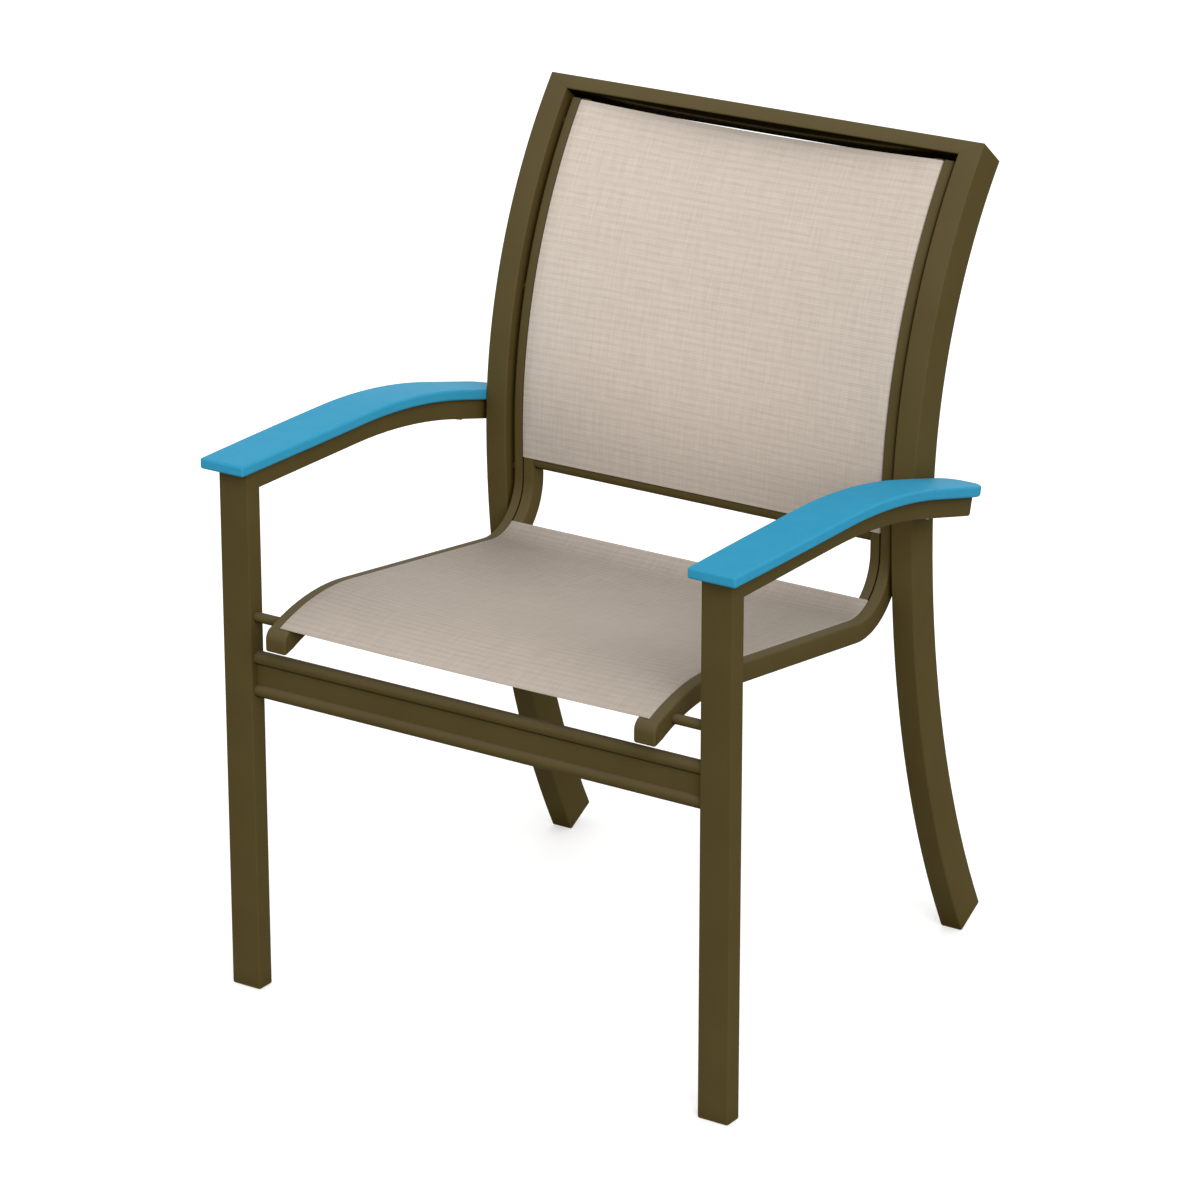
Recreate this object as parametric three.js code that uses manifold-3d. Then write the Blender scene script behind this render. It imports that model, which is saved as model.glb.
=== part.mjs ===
// Sling patio chair: a rigid arm chair of powder-coated aluminium tube, with a seat and a back
// of woven mesh stretched between grooved rails, and a curved polymer pad on each arm.
// Millimetres, +Z up. The chair faces -Y, stands on z = 0, and left is the sitter's left, +X.
// Pieces are drawn with the front legs' front faces at y = 0, then all are moved together so
// that the origin lies under the middle of the chair.
import * as THREE from 'three';
import { mergeVertices } from 'three/addons/utils/BufferGeometryUtils.js';
import Module from 'manifold-3d';

const wasm = await Module();
wasm.setup();

// Whole chair
const overallHeight = 898.3;
const legSpan = 631.5;
const armHeight = 588.2;
const uprightFront = 424.4;
const uprightWaist = 520;

// Front legs and arm rails, one tube section
const legWidth = 36.5;
const legDepth = 22;
const legWall = 2;
const legCorner = 1.5;
const armReach = 474;
const armStraight = 195;
const armRadius = 735;
const armDropDegrees = 14.5;

// Uprights: back post and rear leg in one bent tube
const uprightWidth = 26.5;
const uprightDepth = 44;
const uprightWall = 2;
const uprightCorner = 1.8;
const rearLegRadius = 1110;
const backRadius = 605;

// Sling rails: bent extrusion with a keyhole groove in its upper face
const railWidth = 26;
const railDepth = 23;
const railWall = 1.6;
const railCorner = 3;
const grooveRadius = 3.3;
const grooveMouth = 2;
const grooveLip = 1.2;
const grooveFloor = 1.2;
const seatSlopeDegrees = 7.3;
const seatBendRadius = 55.4;
const seatBendTop = 469.6;
const crownRadius = 248;
const crestSetback = 78.75;
const railReach = 16.5;
const railSetback = 20;
const railTopGap = 5.3;

// Nose caps of the sling rails
const noseReach = 24.5;
const noseChin = 406;
const noseEdge = 2.4;
const noseTongue = 9;

// Spacers that hold rail, upright and arm apart
const railSpacerLength = 4.9;
const armSpacerLength = 6;
const spacerDiameter = 12;
const railSpacerShares = [0.02, 0.5, 0.94];

// Cross members
const topRailHeight = 16.5;
const topRailDepth = 26.5;
const topRailWall = 1.8;
const topRailCorner = 1.5;
const rodDiameter = 11;
const rodWall = 1.6;
const rodDrop = 2.5;
const stretcherHeight = 362.3;
const stretcherPitch = 36.8;
const beadDiameter = 15;
const beadBore = 9.5;
const webThickness = 5;
const spreaderDiameter = 19;
const spreaderWall = 2;
const backSpreaderHeight = 489;
const seatSpreaderSetback = 62;
const seatSpreaderBow = 28;

// Slings, and the splines that their hems wrap
const slingThickness = 1.2;
const hemThickness = 0.7;
const hemGap = 0.2;
const splineDiameter = 4;
const seatSag = 10;
const seatFrontSag = 2;
const backSag = 12;
const backFootSag = 1;
const backTopSag = 8;
const seatFrontMargin = 0.8;
const seatRearDegrees = 43.3;
const backFootHeight = 493.8;
const backTopMargin = 1.7;
const longestPanel = 55;
const hookDegrees = 300;
const laneShares = [-1, -0.86, -0.64, -0.36, 0, 0.36, 0.64, 0.86, 1];

// Arm pads
const padThickness = 12;
const padFrontWidth = 48;
const padWidestWidth = 60;
const padRearWidth = 44;
const padWidestShare = 0.36;
const padOverhang = 15.7;
const padRearOverhang = 2;
const padOutset = 3.4;
const padTailLength = 42;
const padTailTaper = 7;
const padEdge = 4;
const padUnderEdge = 1.5;
const padPanel = 26;

// Glides, end plugs and pad screws
const glideThickness = 3;
const glideEdge = 1.4;
const edgeShares = [[0, 1], [0.3, 0.3], [1, 0]];
const plugDepth = 13;
const plugPlay = 0.6;
const plugFlange = 3;
const plugEdge = 1.4;
const screwDiameter = 5;
const screwHeadDiameter = 10;
const screwHeadHeight = 3.2;
const screwBite = 8;
const screwShares = [0.1, 0.46, 0.86];

// Clearances and facets
const seam = 0.3;
const overrun = 6;
const arcDegrees = 3;
const bendDegrees = 8;
const cornerSteps = 2;
const padCornerSteps = 3;
const grooveSides = 8;
const hemSides = 7;
const splineSides = 7;
const barSides = 16;
const pinSides = 10;
const bowSteps = 12;

const radians = THREE.MathUtils.degToRad;
const degrees = THREE.MathUtils.radToDeg;

// Places across the chair
const legX = (legSpan - legWidth) / 2;
const legInnerX = legX - legWidth / 2;
const uprightX = legInnerX - armSpacerLength - uprightWidth / 2;
const railX = uprightX - uprightWidth / 2 - railSpacerLength - railWidth / 2;
const railInnerX = railX - railWidth / 2;

// A path of straights and bends in a plane across X. A bend is cut into even facets. The
// stations are the facets' corners, with the true heading of the bend at each.
class BentPath extends THREE.Curve {
  constructor(y, z, heading, runs = []) {
    super();
    this.stations = [{ y, z, heading, length: 0 }];
    runs.forEach((run) => this.add(run));
  }

  add({ length = 0, radius = 0, turnDegrees = 0, stepDegrees = arcDegrees }) {
    const pieces = Math.max(1, Math.ceil(Math.abs(turnDegrees) / stepDegrees));
    const turn = radians(turnDegrees) / pieces;
    const chord = turnDegrees ? 2 * radius * Math.sin(Math.abs(turn) / 2) : length;
    for (let i = 0; i < pieces; i += 1) {
      const from = this.end;
      this.stations.push({
        y: from.y + chord * Math.cos(from.heading + turn / 2),
        z: from.z + chord * Math.sin(from.heading + turn / 2),
        heading: from.heading + turn,
        length: from.length + chord,
      });
    }
  }

  get steps() {
    return this.stations.length - 1;
  }

  get start() {
    return this.stations[0];
  }

  get end() {
    return this.stations.at(-1);
  }

  getPointAt(u) {
    const s = this.stations[Math.round(u * this.steps)];
    return new THREE.Vector3(0, s.y, s.z);
  }

  // An outline's x runs across the chair, and its y is the rise on the path's left.
  computeFrenetFrames() {
    const turns = this.stations.map((s) => [Math.cos(s.heading), Math.sin(s.heading)]);
    return {
      tangents: turns.map(([c, s]) => new THREE.Vector3(0, c, s)),
      normals: turns.map(() => new THREE.Vector3(-1, 0, 0)),
      binormals: turns.map(([c, s]) => new THREE.Vector3(0, -s, c)),
    };
  }

  // The station at which one of its values, such as its length or its height, is passed
  at(key, value) {
    const sign = Math.sign(this.end[key] - this.start[key]);
    const past = this.stations.findIndex((s, i) => i > 0 && sign * (s[key] - value) >= 0);
    const i = past < 0 ? this.steps : past;
    return between(this.stations[i - 1], this.stations[i], key, value);
  }

  // The part of the path between two lengths, with no facet longer than panel
  part(from, to, panel = Infinity) {
    const inside = this.stations.filter((s) => s.length > from + seam && s.length < to - seam);
    const corners = [this.at('length', from), ...inside, this.at('length', to)];
    const path = new BentPath(0, 0, 0);
    path.stations = [corners[0]];
    corners.slice(1).forEach((corner, n) => {
      const before = corners[n];
      const pieces = Math.max(1, Math.ceil((corner.length - before.length) / panel));
      for (let i = 1; i <= pieces; i += 1) {
        const reach = before.length + ((corner.length - before.length) * i) / pieces;
        path.stations.push(between(before, corner, 'length', reach));
      }
    });
    return path;
  }
}

function between(a, b, key, value) {
  const t = (value - a[key]) / (b[key] - a[key]);
  return {
    y: a.y + (b.y - a.y) * t,
    z: a.z + (b.z - a.z) * t,
    heading: a.heading + (b.heading - a.heading) * t,
    length: a.length + (b.length - a.length) * t,
  };
}

// A station moved ahead along its heading, and risen square to it on the path's left
function moved(station, ahead, rise = 0) {
  const { heading } = station;
  return {
    ...station,
    y: station.y + ahead * Math.cos(heading) - rise * Math.sin(heading),
    z: station.z + ahead * Math.sin(heading) + rise * Math.cos(heading),
  };
}

function turned(station, degreesLeft) {
  return { ...station, heading: station.heading + radians(degreesLeft) };
}

function straight(station, from, to) {
  const path = new BentPath(0, 0, 0);
  path.stations = [moved(station, from), moved(station, to)];
  return path;
}

// Outlines
function roundedLoop(width, height, radius, steps = cornerSteps, lowRadius = radius) {
  const points = [];
  for (let corner = 0; corner < 4; corner += 1) {
    const r = corner < 2 ? radius : lowRadius;
    const cx = (width / 2 - r) * (corner === 0 || corner === 3 ? 1 : -1);
    const cy = (height / 2 - r) * (corner < 2 ? 1 : -1);
    for (let i = 0; i <= steps; i += 1) {
      const a = radians(90 * (corner + i / steps));
      points.push(new THREE.Vector2(cx + r * Math.cos(a), cy + r * Math.sin(a)));
    }
  }
  return points;
}

function circleLoop(diameter, sides, cy = 0) {
  const points = [];
  for (let i = 0; i < sides; i += 1) {
    const a = (i / sides) * 2 * Math.PI;
    const x = (diameter / 2) * Math.cos(a);
    points.push(new THREE.Vector2(x, cy + (diameter / 2) * Math.sin(a)));
  }
  return points;
}

function shapeOf(outline, ...holes) {
  const shape = new THREE.Shape(outline);
  shape.holes = holes.map((hole) => new THREE.Path(hole));
  return shape;
}

function tubeShape(width, height, radius, wall) {
  const inner = radius > wall ? radius - wall : wall / 4;
  const bore = roundedLoop(width - 2 * wall, height - 2 * wall, inner, 1);
  return shapeOf(roundedLoop(width, height, radius), bore);
}

// Solids from outlines
function sweep(shape, path) {
  return new THREE.ExtrudeGeometry(shape, { steps: path.steps, extrudePath: path });
}

// A shape of the Y-Z plane, pushed out evenly to both sides of x = 0
function acrossX(shape, width, edge = 0) {
  const geometry = new THREE.ExtrudeGeometry(shape, {
    depth: width - 2 * edge,
    bevelEnabled: edge > 0,
    bevelThickness: edge,
    bevelSize: edge,
    bevelOffset: -edge,
    bevelSegments: 2,
    curveSegments: 4,
  });
  geometry.translate(0, 0, edge - width / 2);
  const toY = new THREE.Vector3(0, 1, 0);
  const toZ = new THREE.Vector3(0, 0, 1);
  geometry.applyMatrix4(new THREE.Matrix4().makeBasis(toY, toZ, new THREE.Vector3(1, 0, 0)));
  return geometry;
}

// An outline set at a station, as a ring of points
function ringAt(station, outline) {
  return outline.map((p) => {
    const place = moved(station, 0, p.y);
    return new THREE.Vector3(-p.x, place.y, place.z);
  });
}

// A skin over rings that have as many points each, closed at both ends
function loft(stations, outlines) {
  const rings = stations.map((station, i) => ringAt(station, outlines[i]));
  const count = outlines[0].length;
  const index = [];
  for (let i = 0; i < rings.length - 1; i += 1) {
    for (let j = 0; j < count; j += 1) {
      const a = i * count + j;
      const b = i * count + ((j + 1) % count);
      index.push(a, b, b + count, a, b + count, a + count);
    }
  }
  const last = (rings.length - 1) * count;
  THREE.ShapeUtils.triangulateShape(outlines[0], []).forEach(([a, b, c]) => {
    index.push(c, b, a);
  });
  THREE.ShapeUtils.triangulateShape(outlines.at(-1), []).forEach(([a, b, c]) => {
    index.push(last + a, last + b, last + c);
  });
  const positions = rings.flat().flatMap((p) => [p.x, p.y, p.z]);
  const geometry = new THREE.BufferGeometry();
  geometry.setAttribute('position', new THREE.Float32BufferAttribute(positions, 3));
  geometry.setIndex(index);
  return faceted(geometry);
}

function faceted(geometry) {
  const flat = geometry.toNonIndexed();
  flat.computeVertexNormals();
  return flat;
}

function barAlongX(diameter, length, sides, bore = 0) {
  const holes = bore > 0 ? [circleLoop(bore, sides)] : [];
  return acrossX(shapeOf(circleLoop(diameter, sides), ...holes), length);
}

// A round pin square to a path, between two rises from it
function pin(station, diameter, from, to) {
  const geometry = new THREE.CylinderGeometry(diameter / 2, diameter / 2, to - from, pinSides);
  geometry.translate(0, (from + to) / 2, 0);
  geometry.rotateX(station.heading + Math.PI / 2);
  geometry.translate(0, station.y, station.z);
  return geometry;
}

// A block that holds all that lies ahead of a station
function ahead(station, size) {
  const block = new THREE.BoxGeometry(size, size, size);
  block.translate(0, size / 2, 0);
  block.rotateX(station.heading);
  block.translate(0, station.y, station.z);
  return block;
}

// Joins and cuts
function solid(geometry) {
  const bare = geometry.clone();
  bare.deleteAttribute('normal');
  bare.deleteAttribute('uv');
  const merged = mergeVertices(bare);
  return new wasm.Manifold(new wasm.Mesh({
    numProp: 3,
    vertProperties: new Float32Array(merged.attributes.position.array),
    triVerts: new Uint32Array(merged.index.array),
  }));
}

function geometryOf(body) {
  const mesh = body.getMesh();
  const geometry = new THREE.BufferGeometry();
  geometry.setAttribute('position', new THREE.BufferAttribute(mesh.vertProperties, 3));
  geometry.setIndex(new THREE.BufferAttribute(mesh.triVerts, 1));
  return faceted(geometry);
}

function cut(geometry, ...tools) {
  return geometryOf(tools.reduce((body, tool) => body.subtract(solid(tool)), solid(geometry)));
}

function join(...geometries) {
  return geometryOf(geometries.map(solid).reduce((a, b) => a.add(b)));
}

function mirrored(geometry) {
  return geometryOf(solid(geometry).mirror([1, 0, 0]));
}

// Upright's centre line, from the foot up. The glide's rounded front edge rests on the floor.
const uprightAxisY = uprightFront + uprightDepth / 2;
const legAxisRadius = rearLegRadius - uprightDepth / 2;
const backAxisRadius = backRadius - uprightDepth / 2;
const heel = Math.asin(uprightWaist / rearLegRadius);
const footSink = glideEdge * edgeShares[1][0] * (Math.cos(heel) + Math.sin(heel));
const heelDegrees = degrees(Math.asin((uprightWaist + footSink) / rearLegRadius));
const backDegrees = degrees(Math.asin((overallHeight - uprightWaist) / backRadius));
const uprightAxis = new BentPath(
  uprightAxisY + legAxisRadius * (1 - Math.cos(radians(heelDegrees))),
  uprightWaist - legAxisRadius * Math.sin(radians(heelDegrees)),
  radians(90 + heelDegrees),
  [
    { radius: legAxisRadius, turnDegrees: -heelDegrees },
    { radius: backAxisRadius, turnDegrees: -backDegrees },
  ],
);

// Sling rail's centre line, from the nose back along the seat and up inside the upright,
// where it stays at one distance behind the upright's front face
const railAxisY = uprightFront + railSetback;
const railBackRadius = backRadius - railSetback;
const railHalf = railDepth / 2;
const crownAxisRadius = crownRadius - railHalf;
const bendAxisRadius = seatBendRadius + railHalf;
const seatSlope = radians(seatSlopeDegrees);
const bendFoot = {
  y: railAxisY - bendAxisRadius * (1 + Math.sin(seatSlope)),
  z: seatBendTop - bendAxisRadius * Math.cos(seatSlope),
};
const crownEndY = crestSetback + crownAxisRadius * Math.sin(seatSlope);
const seatStraight = (bendFoot.y - crownEndY) / Math.cos(seatSlope);
const crownCentreZ = bendFoot.z + seatStraight * Math.sin(seatSlope)
  - crownAxisRadius * Math.cos(seatSlope);
const noseDip = Math.asin((crestSetback + railReach) / crownRadius);
const crownDegrees = seatSlopeDegrees + degrees(noseDip);
const railTopSink = Math.asin((topRailHeight + railTopGap) / railBackRadius);
const railAxis = new BentPath(
  crestSetback - crownAxisRadius * Math.sin(noseDip),
  crownCentreZ + crownAxisRadius * Math.cos(noseDip),
  noseDip,
  [
    { radius: crownAxisRadius, turnDegrees: -crownDegrees },
    { length: seatStraight },
    { radius: bendAxisRadius, turnDegrees: 90 + seatSlopeDegrees, stepDegrees: bendDegrees },
    { length: uprightWaist - seatBendTop },
    { radius: railBackRadius, turnDegrees: degrees(railTopSink) - backDegrees },
  ],
);
const bendIndex = 1 + Math.ceil(crownDegrees / arcDegrees);
const bendStart = railAxis.stations[bendIndex].length;
const bendPieces = Math.ceil((90 + seatSlopeDegrees) / bendDegrees);
const bendEnd = railAxis.stations[bendIndex + bendPieces].length;

// Front rod's place: between the front legs, under the groove
const rodY = legDepth / 2;
const rodRadius = crownAxisRadius - rodDrop;
const rodZ = crownCentreZ + Math.sqrt(rodRadius ** 2 - (crestSetback - rodY) ** 2);

// Arm rail's centre line
const armAxisZ = armHeight - legDepth / 2;
const armDrop = radians(armDropDegrees);
const armTail = (armReach - armStraight - armRadius * Math.sin(armDrop)) / Math.cos(armDrop);
const armAxis = new BentPath(0, armAxisZ, 0, [
  { length: armStraight },
  { radius: armRadius, turnDegrees: -armDropDegrees },
  { length: armTail },
]);
const armEndLength = armAxis.end.length;
const screwStations = screwShares.map((share) => armAxis.at('length', share * armEndLength));

// Front leg and arm rail, mitred on each other
const mitreCentre = { y: legDepth / 2, z: armAxisZ, heading: Math.PI / 4, length: 0 };

function frontLeg() {
  const foot = { y: legDepth / 2, z: 0, heading: Math.PI / 2, length: 0 };
  const path = straight(foot, glideThickness + seam, armHeight + overrun);
  const tube = sweep(tubeShape(legWidth, legDepth, legCorner, legWall), path);
  return cut(tube, ahead(moved(mitreCentre, -seam / 2), armHeight));
}

function armRail() {
  const path = armAxis.part(0, armEndLength - plugFlange - seam);
  path.stations[0] = moved(path.start, -overrun);
  const tube = sweep(tubeShape(legWidth, legDepth, legCorner, legWall), path);
  const holes = screwStations.map((s) => pin(s, screwDiameter + 2 * seam, -legDepth, legDepth));
  return cut(tube, ahead(turned(moved(mitreCentre, seam / 2), 180), armHeight), ...holes);
}

// The wedge on one side of the mitre between upright and top rail, drawn across the top end
function topMitre(above) {
  const length = Math.hypot(uprightWidth, topRailHeight);
  const shift = ((above ? -1 : 1) * seam) / 2 / length;
  const along = (t) => new THREE.Vector2(
    uprightWidth * (t - 1 / 2) - topRailHeight * shift,
    topRailHeight * (t - 1) + uprightWidth * shift,
  );
  const low = along(-1);
  const high = along(2);
  const corner = above ? new THREE.Vector2(low.x, high.y) : new THREE.Vector2(high.x, low.y);
  const wedge = new THREE.ExtrudeGeometry(shapeOf([low, high, corner]), {
    depth: 2 * uprightDepth,
    bevelEnabled: false,
  });
  wedge.translate(0, 0, -uprightDepth);
  const { heading } = uprightAxis.end;
  wedge.applyMatrix4(new THREE.Matrix4().makeBasis(
    new THREE.Vector3(1, 0, 0),
    new THREE.Vector3(0, Math.cos(heading), Math.sin(heading)),
    new THREE.Vector3(0, -Math.sin(heading), Math.cos(heading)),
  ));
  wedge.translate(0, uprightAxis.end.y, uprightAxis.end.z);
  return wedge;
}

function upright() {
  const path = uprightAxis.part(glideThickness + seam, uprightAxis.end.length);
  const tube = sweep(tubeShape(uprightWidth, uprightDepth, uprightCorner, uprightWall), path);
  return cut(tube, topMitre(true));
}

// Top rail: flush with the uprights' front faces and tops, mitred at both ends
function topRail() {
  const { end } = uprightAxis;
  const centre = moved(end, -topRailHeight / 2, (uprightDepth - topRailDepth) / 2);
  const shape = tubeShape(topRailDepth, topRailHeight, topRailCorner, topRailWall);
  const rail = acrossX(shape, 2 * uprightX + uprightWidth);
  rail.rotateX(end.heading - Math.PI / 2);
  rail.translate(0, centre.y, centre.z);
  const wedge = topMitre(false);
  wedge.translate(uprightX, 0, 0);
  return cut(rail, wedge, mirrored(wedge));
}

// Sling rail: rounded tube with a keyhole groove along its upper face
const grooveDepth = grooveLip + Math.sqrt(grooveRadius ** 2 - (grooveMouth / 2) ** 2);
const grooveRise = railHalf - grooveDepth;
const boreRoof = grooveRise - grooveRadius - grooveFloor;
const boreFloor = railWall - railHalf;

function railOutline() {
  const points = roundedLoop(railWidth, railDepth, railCorner);
  const mouthTurn = Math.asin(grooveMouth / 2 / grooveRadius);
  const groove = [new THREE.Vector2(grooveMouth / 2, railHalf)];
  for (let i = 0; i <= grooveSides; i += 1) {
    const a = Math.PI / 2 - mouthTurn - (i / grooveSides) * 2 * (Math.PI - mouthTurn);
    const y = grooveRise + grooveRadius * Math.sin(a);
    groove.push(new THREE.Vector2(grooveRadius * Math.cos(a), y));
  }
  groove.push(new THREE.Vector2(-grooveMouth / 2, railHalf));
  points.splice(cornerSteps + 1, 0, ...groove);
  return points;
}

function boreLoop(clearance) {
  const width = railWidth - 2 * railWall - 2 * clearance;
  const height = boreRoof - boreFloor - 2 * clearance;
  const loop = roundedLoop(width, height, railWall / 2, 1);
  return loop.map((p) => new THREE.Vector2(p.x, p.y + (boreRoof + boreFloor) / 2));
}

function slingRail() {
  const rail = sweep(shapeOf(railOutline(), boreLoop(0)), railAxis);
  const hole = barAlongX(rodDiameter + 2 * seam, railWidth + 2 * overrun, barSides);
  hole.translate(0, rodY, rodZ);
  return cut(rail, hole);
}

// Nose cap: closes the rail's front end, rounded down to a blunt upright face
function noseCap() {
  const joint = railAxis.start;
  const top = moved(joint, 0, railHalf);
  const topBack = moved(top, overrun);
  const foot = moved(joint, 0, -railHalf);
  const footBack = moved(foot, overrun);
  const brow = top.z - (noseReach - railReach) * Math.tan(joint.heading);
  const browLength = (noseReach - railReach) / Math.cos(joint.heading);
  const shape = new THREE.Shape();
  shape.moveTo(footBack.y, footBack.z);
  shape.lineTo(topBack.y, topBack.z);
  shape.lineTo(top.y, top.z);
  shape.quadraticCurveTo(-noseReach, brow, -noseReach, brow - browLength);
  shape.lineTo(-noseReach, noseChin + railCorner);
  shape.quadraticCurveTo(-noseReach, noseChin, railCorner - noseReach, noseChin);
  shape.lineTo(foot.y, foot.z);
  const body = cut(acrossX(shape, railWidth, noseEdge), ahead(moved(joint, -seam), armHeight));
  const tongue = straight(joint, -noseEdge, noseTongue);
  return join(body, sweep(shapeOf(boreLoop(seam)), tongue));
}

// A moulded plug: a flange with the tube's outline, its rim rounded, and a core in the bore
function endPlug(station, width, depth, corner, wall, flange, edge) {
  const reaches = [...edgeShares.map(([along]) => along * edge), flange];
  const insets = [...edgeShares.map(([, inset]) => inset * edge), 0];
  const stations = reaches.map((reach) => moved(station, reach));
  const outlines = insets.map((inset) => roundedLoop(
    width - 2 * inset,
    depth - 2 * inset,
    corner,
  ));
  const inner = corner > wall ? corner - wall : wall / 4;
  const core = roundedLoop(
    width - 2 * wall - 2 * plugPlay,
    depth - 2 * wall - 2 * plugPlay,
    inner,
    1,
  );
  return join(
    loft(stations, outlines),
    sweep(shapeOf(core), straight(station, flange / 2, flange + plugDepth)),
  );
}

function frontGlide() {
  const foot = { y: legDepth / 2, z: 0, heading: Math.PI / 2, length: 0 };
  return endPlug(foot, legWidth, legDepth, legCorner, legWall, glideThickness, glideEdge);
}

function rearGlide() {
  return endPlug(
    uprightAxis.start,
    uprightWidth,
    uprightDepth,
    uprightCorner,
    uprightWall,
    glideThickness,
    glideEdge,
  );
}

function armPlug() {
  const end = turned(armAxis.end, 180);
  return endPlug(end, legWidth, legDepth, legCorner, legWall, plugFlange, plugEdge);
}

// Cross members
function crossRod() {
  const bore = rodDiameter - 2 * rodWall;
  const rod = barAlongX(rodDiameter, 2 * (legInnerX - seam), barSides, bore);
  rod.translate(0, rodY, rodZ);
  return rod;
}

// Front stretcher: two round beads joined by a flat web
function frontStretcher() {
  const radius = beadDiameter / 2;
  const webTurn = Math.asin(webThickness / 2 / radius);
  const outline = [];
  [1, -1].forEach((side) => {
    for (let i = 0; i <= barSides; i += 1) {
      const a = (side * Math.PI) / 2 - Math.PI + webTurn
        + (i / barSides) * 2 * (Math.PI - webTurn);
      const z = (side * stretcherPitch) / 2 + radius * Math.sin(a);
      outline.push(new THREE.Vector2(radius * Math.cos(a), z));
    }
  });
  const bores = [1, -1].map((side) => circleLoop(beadBore, barSides, (side * stretcherPitch) / 2));
  const bar = acrossX(shapeOf(outline, ...bores), 2 * (legInnerX - seam));
  bar.translate(0, legDepth / 2, stretcherHeight);
  return bar;
}

// Spreader bars keep the sling rails apart against the pull of the slings
function backSpreader() {
  const bore = spreaderDiameter - 2 * spreaderWall;
  const bar = barAlongX(spreaderDiameter, 2 * (railInnerX - seam), barSides, bore);
  bar.translate(0, railAxisY, backSpreaderHeight);
  return bar;
}

class Bow extends THREE.Curve {
  constructor(half, depth) {
    super();
    this.half = half;
    this.depth = depth;
  }

  getPoint(t) {
    const share = 2 * t - 1;
    const dip = this.depth * Math.cos((share * Math.PI) / 2) ** 2;
    return new THREE.Vector3(share * this.half, 0, -dip);
  }
}

function seatSpreader() {
  const place = railAxis.at('length', bendStart - seatSpreaderSetback);
  const bore = spreaderDiameter - 2 * spreaderWall;
  const tube = shapeOf(circleLoop(spreaderDiameter, barSides), circleLoop(bore, barSides));
  const bar = new THREE.ExtrudeGeometry(tube, {
    steps: bowSteps,
    extrudePath: new Bow(railInnerX - seam, seatSpreaderBow),
  });
  bar.translate(0, place.y, place.z);
  return bar;
}

function spacer(length) {
  return barAlongX(spacerDiameter, length - 2 * seam, barSides);
}

// Slings: a stretched panel, whose side hems go down through the groove's mouth and hook
// round the splines. Rises are taken from the rails' centre line.
const hemRadius = splineDiameter / 2 + hemGap;
const neckHalf = grooveMouth / 2 - seam;
const underRise = railHalf + seam;
const overRise = underRise + slingThickness;

// The right-hand hem, from the panel's underside round the spline to its upper side
function hemOutline() {
  const outer = hemRadius + hemThickness;
  const arc = (radius, from, to) => {
    const points = [];
    for (let i = 0; i <= hemSides; i += 1) {
      const a = from + ((to - from) * i) / hemSides;
      const x = railX + radius * Math.sin(a);
      points.push(new THREE.Vector2(x, grooveRise + radius * Math.cos(a)));
    }
    return points;
  };
  const inside = arc(hemRadius, -Math.asin(neckHalf / hemRadius), radians(hookDegrees));
  const outside = arc(outer, radians(hookDegrees), Math.asin(neckHalf / outer));
  return [
    new THREE.Vector2(railX - neckHalf, underRise),
    ...inside,
    ...outside,
    new THREE.Vector2(railX + neckHalf, overRise - slingThickness / 2),
    new THREE.Vector2(railX + neckHalf - slingThickness / 2, overRise),
  ];
}

function slingOutline(sag) {
  const right = hemOutline();
  const left = right.map((p) => new THREE.Vector2(-p.x, p.y)).reverse();
  const lanes = (rise) => laneShares.map((share) => (
    new THREE.Vector2(share * railInnerX, rise - sag * (1 - share ** 2))
  ));
  return [...lanes(underRise), ...right, ...lanes(overRise).reverse(), ...left];
}

function sling(from, to, midSag, startSag, endSag) {
  const path = railAxis.part(from, to, longestPanel);
  const outlines = path.stations.map((s) => {
    const t = (s.length - from) / (to - from);
    const edge = startSag + (endSag - startSag) * t;
    return slingOutline(edge + (midSag - edge) * Math.sin(Math.PI * t));
  });
  return loft(path.stations, outlines);
}

function spline(from, to) {
  const path = railAxis.part(from, to);
  return sweep(shapeOf(circleLoop(splineDiameter, splineSides, grooveRise)), path);
}

const bendLength = bendEnd - bendStart;
const seatFrom = seatFrontMargin;
const seatTo = bendStart + (bendLength * seatRearDegrees) / (90 + seatSlopeDegrees);
const backFrom = bendEnd + backFootHeight - seatBendTop;
const backTo = railAxis.end.length - backTopMargin;

// Arm pad: follows the arm rail, widest over the elbow, with a tapered tail and rounded
// upper edges
function padWidth(reach, total) {
  const t = reach / total;
  const front = t < padWidestShare;
  const end = front ? padFrontWidth : padRearWidth;
  const share = front ? 1 - t / padWidestShare : (t - padWidestShare) / (1 - padWidestShare);
  const ease = front ? share ** 2 : THREE.MathUtils.smoothstep(share, 0, 1);
  const tail = Math.max(0, 1 - (total - reach) / padTailLength);
  return padWidestWidth - (padWidestWidth - end) * ease - padTailTaper * tail ** 2;
}

function padOutline(width, inset) {
  const lift = Math.min(inset, padUnderEdge);
  const height = padThickness - inset - lift;
  const loop = roundedLoop(width - 2 * inset, height, padEdge, padCornerSteps, padUnderEdge);
  const middle = legDepth / 2 + seam + lift + height / 2;
  return loop.map((p) => new THREE.Vector2(p.x - padOutset, p.y + middle));
}

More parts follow.
